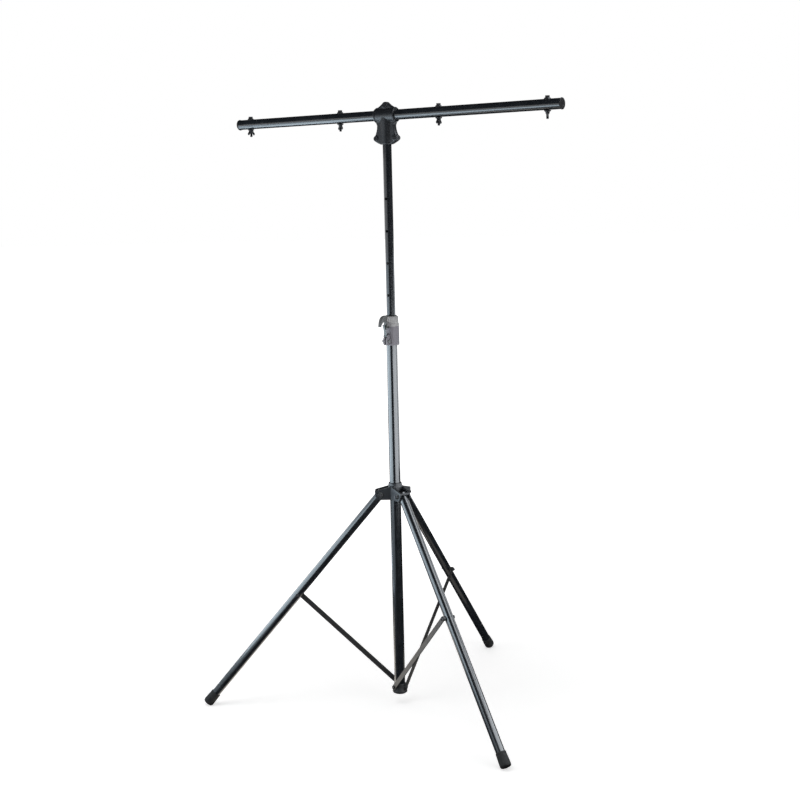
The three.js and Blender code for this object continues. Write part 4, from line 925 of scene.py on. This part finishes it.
# %% Brace bars and their bolts
BRACE_INNER, BRACE_OUTER = 20.3, 23.3
BOLT_REACH = PIVOT_REACH - BRACE_BOLT * sin(radians(SPREAD))
BOLT_HEIGHT = PIVOT_HEIGHT + BRACE_BOLT * cos(radians(SPREAD))
BRACE_PIVOT_HEIGHT = 21
SPACER_NEAR, SPACER_FAR = -20, -14.3
BRACE_LENGTH = hypot(BOLT_REACH, BOLT_HEIGHT - BRACE_PIVOT_HEIGHT)
BRACE_SLOPE = atan2(BOLT_HEIGHT - BRACE_PIVOT_HEIGHT, BOLT_REACH)


def brace_bar():
    outline = arc(0, 0, 8, 90, 270, 24) + arc(BRACE_LENGTH, 0, 8, -90, 90, 24)
    bar = sawn(outline, -BRACE_OUTER, -BRACE_INNER)
    bores = [across(rod(3.3, -30, 0, 32), x) for x in (0, BRACE_LENGTH)]
    return broken(drilled(bar, together(*bores)), 0.5, 2, 50)


for name, azimuth in LEGS.items():
    low_pivot = facing(azimuth) @ shifted(0, 0, BRACE_PIVOT_HEIGHT)
    link = low_pivot @ Matrix.Rotation(-BRACE_SLOPE, 4, "Y")
    piece_from(f"brace_bar_{name}", brace_bar(), f"brace_{name}", link, [f"brace_{name}"])
    under = shifted(0, 0, -BRACE_OUTER - 0.3)
    nut = moved(turned_over(lock_nut(M6_CORNER, 5, 3)), under)
    nut = across(together(nut, rod(3, -24.5, -BRACE_INNER, 32)), BRACE_LENGTH)
    piece_from(f"brace_lock_{name}", nut, f"brace_{name}", link, [f"brace_nut_{name}"])
    head = moved(turned_over(hexagon(M6_CORNER, 0, 4)), under)
    screw = across(together(head, rod(3, -24.5, -8, 32)))
    piece_from(f"brace_pivot_{name}", screw, "mast", low_pivot, [f"brace_pivot_bolt_{name}"])
    leg = leg_place(azimuth)
    spacer = across(broken(ring(3.3, 7, SPACER_NEAR, SPACER_FAR), 0.5), 0, BRACE_BOLT)
    piece_from(f"spacer_{name}", spacer, f"leg_{name}", leg, [f"brace_spacer_{name}"])
    head = moved(hexagon(M6_CORNER, 0, 4), shifted(0, 0, -SPACER_FAR))
    bolt = across(together(rod(3, SPACER_NEAR, 15, 32), head), 0, BRACE_BOLT)
    piece_from(f"leg_bolt_{name}", bolt, f"leg_{name}", leg, [f"brace_bolt_{name}"])
print("braces made, each", round(BRACE_LENGTH), "mm between bolts")

# %% [markdown]
# ## The clamp
# The clamp is a rough light-grey casting. A rounded square sleeve grips the lower mast, and its slit and
# pinch bolt draw it tight. The round head guides the upper mast through a bush. Two cheeks hold the lever,
# and two small ears above the lugs hold the leaf spring. The blocks are fused first, and the bores, the
# slit and the holes come after.

# %% The clamp casting
CLAMP_LOW, CLAMP_HIGH = 1148, 1240
CLAMP_BODY_HIGH, CLAMP_HEAD_LOW = 1218, 1208
LEVER_REACH, LEVER_HEIGHT = 29, 1232
SPRING_REACH, SPRING_HEIGHT = 31, 1178
LUG_LOW, LUG_HIGH = 1151.2, 1173.8
PINCH_REACH, PINCH_HEIGHT = 29, 1162.5


def rounded_square(half, corner):
    inner = half - corner
    return (
        arc(inner, inner, corner, 0, 90, 8) + arc(-inner, inner, corner, 90, 180, 8)
        + arc(-inner, -inner, corner, 180, 270, 8) + arc(inner, -inner, corner, 270, 360, 8)
    )


def both_sides(outline, near, far):
    return [broken(sawn(outline, *ends), 0.6, 2) for ends in ((near, far), (-far, -near))]


def cross_hole(radius, reach, height):
    return across(rod(radius, -40, 40, 32), reach, height)


square = broken(prism(rounded_square(20.8, 12), CLAMP_LOW + 0.2, CLAMP_BODY_HIGH), 1.2, 3, 50)
head = broken(rod(22.4, CLAMP_HEAD_LOW + 0.4, CLAMP_HIGH - 0.2, 96), 2.0, 4)
cheek = [(16, 1217)] + arc(LEVER_REACH, LEVER_HEIGHT, 7.4, -90, 90, 14) + [(16, LEVER_HEIGHT + 7.4)]
lug = [
    (16, LUG_LOW), (34, LUG_LOW), (36.8, LUG_LOW + 2.8), (36.8, LUG_HIGH - 2.8), (34, LUG_HIGH),
    (16, LUG_HIGH),
]
ear = [(16, 1166), (31, 1168)] + arc(SPRING_REACH, SPRING_HEIGHT, 3.9, -60, 100, 10)
ear += [(20, 1182.4), (16, 1182.4)]
blocks = both_sides(cheek, 6.3, 9.3) + both_sides(lug, 2.2, 7.8) + both_sides(ear, 4.7, 7.8)
clamp = fused(together(square, head, *blocks), 0.55, 3)
clamp = drilled(
    clamp, rod(17.8, CLAMP_LOW - 10, MAST_HIGH + 0.3, 96), rod(15.6, MAST_HIGH - 5, CLAMP_HIGH + 10, 96),
    cuboid((0, -2, CLAMP_LOW - 10), (60, 2, MAST_HIGH - 4)),
    moved(rod(4.4, 0, 60, 40), ALONG_X, shifted(0, 0, CLAMP_PIN_HEIGHT)),
    cross_hole(3.3, PINCH_REACH, PINCH_HEIGHT), cross_hole(2.8, LEVER_REACH, LEVER_HEIGHT),
    cross_hole(1.8, SPRING_REACH, SPRING_HEIGHT),
)
piece_from("clamp_casting", clamp, "mast", facing(FRONT), ["clamp_housing"])
print("clamp casting made")

# %% Bush, pinch bolt and rivets
bush = turned([
    (14.35, 1217), (15.3, 1217), (15.3, 1240.3), (16.9, 1240.3), (17.4, 1240.8), (17.4, 1241.8),
    (16.8, 1242.5), (14.8, 1242.5), (14.35, 1242.1), (14.35, 1217),
], 96)
piece_from("mast_bushing", bush, "mast", facing(FRONT), ["mast_bush"])
pinch = cross_bolt(3, M6_CORNER, 4, 5, 8.3, PINCH_REACH, PINCH_HEIGHT)
piece_from("pinch_screw", pinch, "mast", facing(FRONT), ["pinch_bolt"])


for name, radius, half, x, z in (
    ("lever", 2.5, 9.5, LEVER_REACH, LEVER_HEIGHT), ("spring", 1.5, 8, SPRING_REACH, SPRING_HEIGHT),
):
    rivet = across(broken(rod(radius, -half, half, 40), radius * 0.3, 3), x, z)
    piece_from(f"{name}_rivet", rivet, "mast", facing(FRONT), [f"{name}_pin"])
print("bush, pinch bolt and rivets made")

# %% [markdown]
# ### Lever, index pin and leaf spring
# A finger lifts the hooked tip of the lever. Its two tines then pull the head of the index pin outwards,
# against the leaf spring. The lever is drawn as a side view and fused with its barrel and tines.

# %% The lever and the index pin
LEVER_HALF = 5.6
hook = (
    [(0, -5.8), (9, -8.3)] + bend((9, -8.3), (27, -5), (33.6, -21.4), 12)[1:]
    + [(34.6, -22.1), (35.7, -21.9), (36.3, -21)] + bend((36.3, -21), (34.8, -9), (30.8, -0.9), 10)[1:]
    + bend((30.8, -0.9), (23, 13), (1, 11.8), 14)[1:] + [(-3, 8.2), (-3, 5)]
)
blade = broken(sawn(hook, -LEVER_HALF, LEVER_HALF), 1.2, 3)
barrel = across(rod(5.9, -5.7, 5.7))
tines = broken(cuboid((0.8, -LEVER_HALF, -28.8), (3.8, LEVER_HALF, 0)), 0.5)
lever = fused(together(blade, barrel, tines), 0.4, 3)
lever = drilled(lever, across(rod(2.8, -20, 20, 32)), cuboid((-10, -4.1, -40), (30, 4.1, -21.9)))
place = facing(FRONT) @ shifted(LEVER_REACH, 0, LEVER_HEIGHT)
piece_from("lock_hook", lever, "lever", place, ["lock_lever"], "lever_metal")

pin_outline = [(0, 14.4), (3, 14.4), (3.8, 15.2), (3.8, 34), (6.6, 34), (7, 34.4), (7, 35.8)]
pin_outline += bend((7, 35.8), (5.4, 38.1), (0, 38.45), 8)[1:]
place = facing(FRONT) @ shifted(0, 0, CLAMP_PIN_HEIGHT) @ ALONG_X
piece_from("index_plunger", turned(pin_outline, 64), "index_pin", place, ["index_pin"])

PIN_FACE = 38.5
lean = (PIN_FACE + 0.3 - SPRING_REACH) / (CLAMP_PIN_HEIGHT - SPRING_HEIGHT - 3.5)
spine = [(z * lean, z) for z in (1.5, 12, 24, 34)]
spine += bend(spine[-1], (36 * lean, 36.6), (36 * lean + 3, 37.3), 6)[1:]
outer = [(x + 1.15, z - 0.1) for x, z in reversed(spine[:-1])]
leaf = broken(sawn(spine + [(36 * lean + 3, 36.2)] + outer, -3.4, 3.4), 0.25, 2, 40)
leaf = together(leaf, across(broken(ring(1.8, 2.95, -4.1, 4.1), 0.2)))
place = facing(FRONT) @ shifted(SPRING_REACH, 0, SPRING_HEIGHT)
piece_from("leaf_strip", leaf, "leaf", place, ["leaf_spring"])
print("lever, pin and spring made")

# %% [markdown]
# ## The crosspiece
# Two half castings are bolted round the mast and the crossbar. The outline flows from a domed hump over the
# bar, in to a waist and out to two ears. One whole is fused from an upright web, two sleeves, lips and
# bosses, and is then bored and sawn into its front and rear halves.

# %% The two half castings
BAR_HEIGHT = 1862
HEAD_PLACE = shifted(0, 0, BAR_HEIGHT) @ facing(FRONT + 90)
HEAD_BOLTS = [(0, 29), (-35, -70), (35, -70)]
WEB_HALF = 9

half_web = (
    arc(0, 29, 11.9, 90, 45, 6) + bend((8.4, 37.4), (16, 30), (27, 24.5), 8)[1:]
    + [(36, 23.5), (37.5, -17), (31.4, -31)] + bend((31.4, -31), (31, -50), (44.9, -70), 10)[1:]
    + arc(35, -70, 9.9, 0, -60, 6)[1:] + bend((39.9, -78.6), (30, -85), (18.4, -88.9), 6)[1:]
)
web_outline = half_web + [(-x, z) for x, z in reversed(half_web[1:])]


def head_body():
    """The whole crosspiece before it is bored and split, with thick blends from the web to the sleeves."""
    web = broken(sawn(web_outline, -WEB_HALF, WEB_HALF), 2.6, 3, 40)
    collar = moved(broken(rod(20.9, -38, 38, 72), 1.2, 2), ALONG_X)
    sleeve = broken(turned([
        (0, -88.9), (17.6, -88.9), (18.3, -87), (18.5, -50), (19.6, -20), (20, 0), (0, 0),
    ], 72), 0.5)
    lips = [moved(broken(rod(22.4, a, b, 72), 1.6, 3), ALONG_X) for a, b in ((-37.9, -32), (32, 37.9))]
    bosses = [across(broken(rod(8.6, -11.9, 11.9, 48), 1.0, 2), x, z) for x, z in HEAD_BOLTS]
    return fused(together(web, collar, sleeve, *lips, *bosses), 0.8, 9)


def half_of(shape, side):
    """The half of a closed shape beyond the split, on one side of Y, with its sawn face closed."""
    bmesh.ops.bisect_plane(
        shape, geom=shape.verts[:] + shape.edges[:] + shape.faces[:], dist=1e-5, plane_co=(0, 0.3 * side, 0),
        plane_no=(0, -side, 0), clear_outer=True,
    )
    rim = [edge for edge in shape.edges if edge.is_boundary]
    bmesh.ops.holes_fill(shape, edges=rim, sides=0)
    return shape


for side, label in ((-1, "front"), (1, "rear")):
    bar_bore = moved(rod(16.3, -60, 60, 96), ALONG_X)
    half = drilled(half_of(head_body(), side), bar_bore, rod(14.3, -120, -18.7, 96))
    for x, z in HEAD_BOLTS:
        seat = across(moved(rod(6.3, 7.4, 30), Matrix.Scale(side, 4, (0, 0, 1))), x, z)
        half = drilled(half, across(rod(3.3, -30, 30, 32), x, z), seat)
    piece_from(f"crosspiece_{label}", half, "head", HEAD_PLACE, [f"head_{label}"])
print("crosspiece made")

# %% [markdown]
# ### The bolts of the crosspiece
# Socket screws sit in the front counterbores and nuts in the rear ones. The hexagon socket is drilled like
# a hole, with a six-sided tool.

# %% Socket screws
def socket_screw():
    cap = drilled(broken(rod(5, -11.7, -7.7, 64), 0.4, 2), rod(2.6, -20, -9.2, 6))
    return together(cap, rod(3, -8, 12, 32), moved(lock_nut(M6_CORNER, 4.7, 3), shifted(0, 0, 7.7)))


for number, (x, z) in enumerate(HEAD_BOLTS, 1):
    screw = across(socket_screw(), x, z)
    piece_from(f"head_screw_{number}", screw, "head", HEAD_PLACE, [f"head_bolt_{number}"])
print("socket screws made")

# %% [markdown]
# ## The crossbar
# The crossbar is 32 mm tube, 1.2 m long, and is clamped a little off its middle. Four upright bolts go
# through it. The head of each bolt stands on a saddle that fits the tube, and a wing nut below holds the
# yoke of a lamp.

# %% The bar and its caps
BAR_RADIUS, BAR_WALL, BAR_HALF, BAR_OFFSET = 16, 2, 600, 7
LAMP_PLACES = [-555, -185, 185, 555]
WING_TURNS = [-90, -30, -85, -55]
BAR_CAP_OUTLINE = [
    (0, 603.6), (6, 603.6), (6.6, 604.2), (13.4, 604.2), (15.6, 603.9), (16.9, 602.9), (17.3, 601.7),
    (17.3, 600.9), (16.9, 600.4), (13.7, 600.4), (13.7, 585.6), (12.8, 584.4), (0, 584.4),
]


def on_bar(x=0):
    return HEAD_PLACE @ shifted(BAR_OFFSET + x, 0, 0)


bar = moved(tube(BAR_RADIUS, BAR_WALL, -BAR_HALF, BAR_HALF), ALONG_X)
bar = drilled(bar, together(*[moved(rod(4.6, -30, 30, 32), shifted(x, 0, 0)) for x in LAMP_PLACES]))
bar = moved(bar, ALONG_X.inverted())
piece_from("bar_tube", bar, "head", on_bar() @ ALONG_X, ["crossbar"])

for side, label in ((-1, "left"), (1, "right")):
    cap = moved(turned(BAR_CAP_OUTLINE, 80), ALONG_X, facing(0 if side > 0 else 180))
    piece_from(f"bar_end_{label}", cap, "head", on_bar(), [f"bar_cap_{label}"])
print("bar and caps made")

# %% Lamp bolts and wing nuts
def lamp_bolt():
    saddle = turned([
        (0, 12.4), (9.8, 12.4), (10.4, 13), (10.4, 16.1), (10, 17), (8.4, 19.2), (7.4, 19.8), (0, 19.8),
    ], 56)
    saddle = drilled(saddle, moved(rod(BAR_RADIUS + 0.3, -30, 30, 96), ALONG_X))
    head = moved(hexagon(M8_CORNER, 0, 5.2), shifted(0, 0, 19.9))
    return together(saddle, head, threaded(4, -40.9, 13))


def wing_nut():
    hub = turned([
        (0, -27.2), (4.6, -27.2), (5.6, -26.4), (6.4, -21.6), (7.4, -19.9), (10.3, -19.1), (10.4, -16.4),
        (0, -16.4),
    ], 56)
    wing = (
        [(2, -19)] + bend((2, -19), (9, -19.4), (12.4, -24.2), 6)[1:] + arc(12.4, -30.9, 4.4, 80, -110, 10)
        + bend((10.6, -34.6), (7, -28), (2, -27), 6)
    )
    wings = [moved(broken(sawn(wing, -1.6, 1.6), 0.7, 2, 50), facing(turn)) for turn in (0, 180)]
    nut = fused(together(broken(hub, 0.5, 2), *wings), 0.4, 3)
    return drilled(nut, rod(4.25, -40, 0, 32))


for number, (x, turn) in enumerate(zip(LAMP_PLACES, WING_TURNS), 1):
    place = on_bar(x)
    piece_from(f"lamp_screw_{number}", lamp_bolt(), "head", place, [f"lamp_bolt_{number}"])
    nut_place = place @ facing(turn)
    piece_from(f"wing_{number}", wing_nut(), f"wing_nut_{number}", nut_place, [f"wing_nut_{number}"])
print("lamp bolts and wing nuts made")

# %% [markdown]
# ## What stays as a solid
# The nylon guide inside the mast never shows. It keeps its CAD shape and gets a finish that reads Object
# coordinates, because its mesh has no drawn ones.

# %% Finish the solids that are left
left = []
for node, solid in frame["nodes"].items():
    solid.data.materials.clear()
    solid.data.materials.append(SOLID_FINISH[SLOT_FINISH[SLOTS[node]]])
    if not solid.hide_render:
        left.append(node)
print("solids that still show:", left)

# %% [markdown]
# ## The count
# The pieces and their faces are counted, and the four largest are listed.

# %% Count the pieces
print("pieces:", len(made), " faces:", sum(count for _, count in made))
print("largest:", sorted(made, key=lambda row: -row[1])[:4])
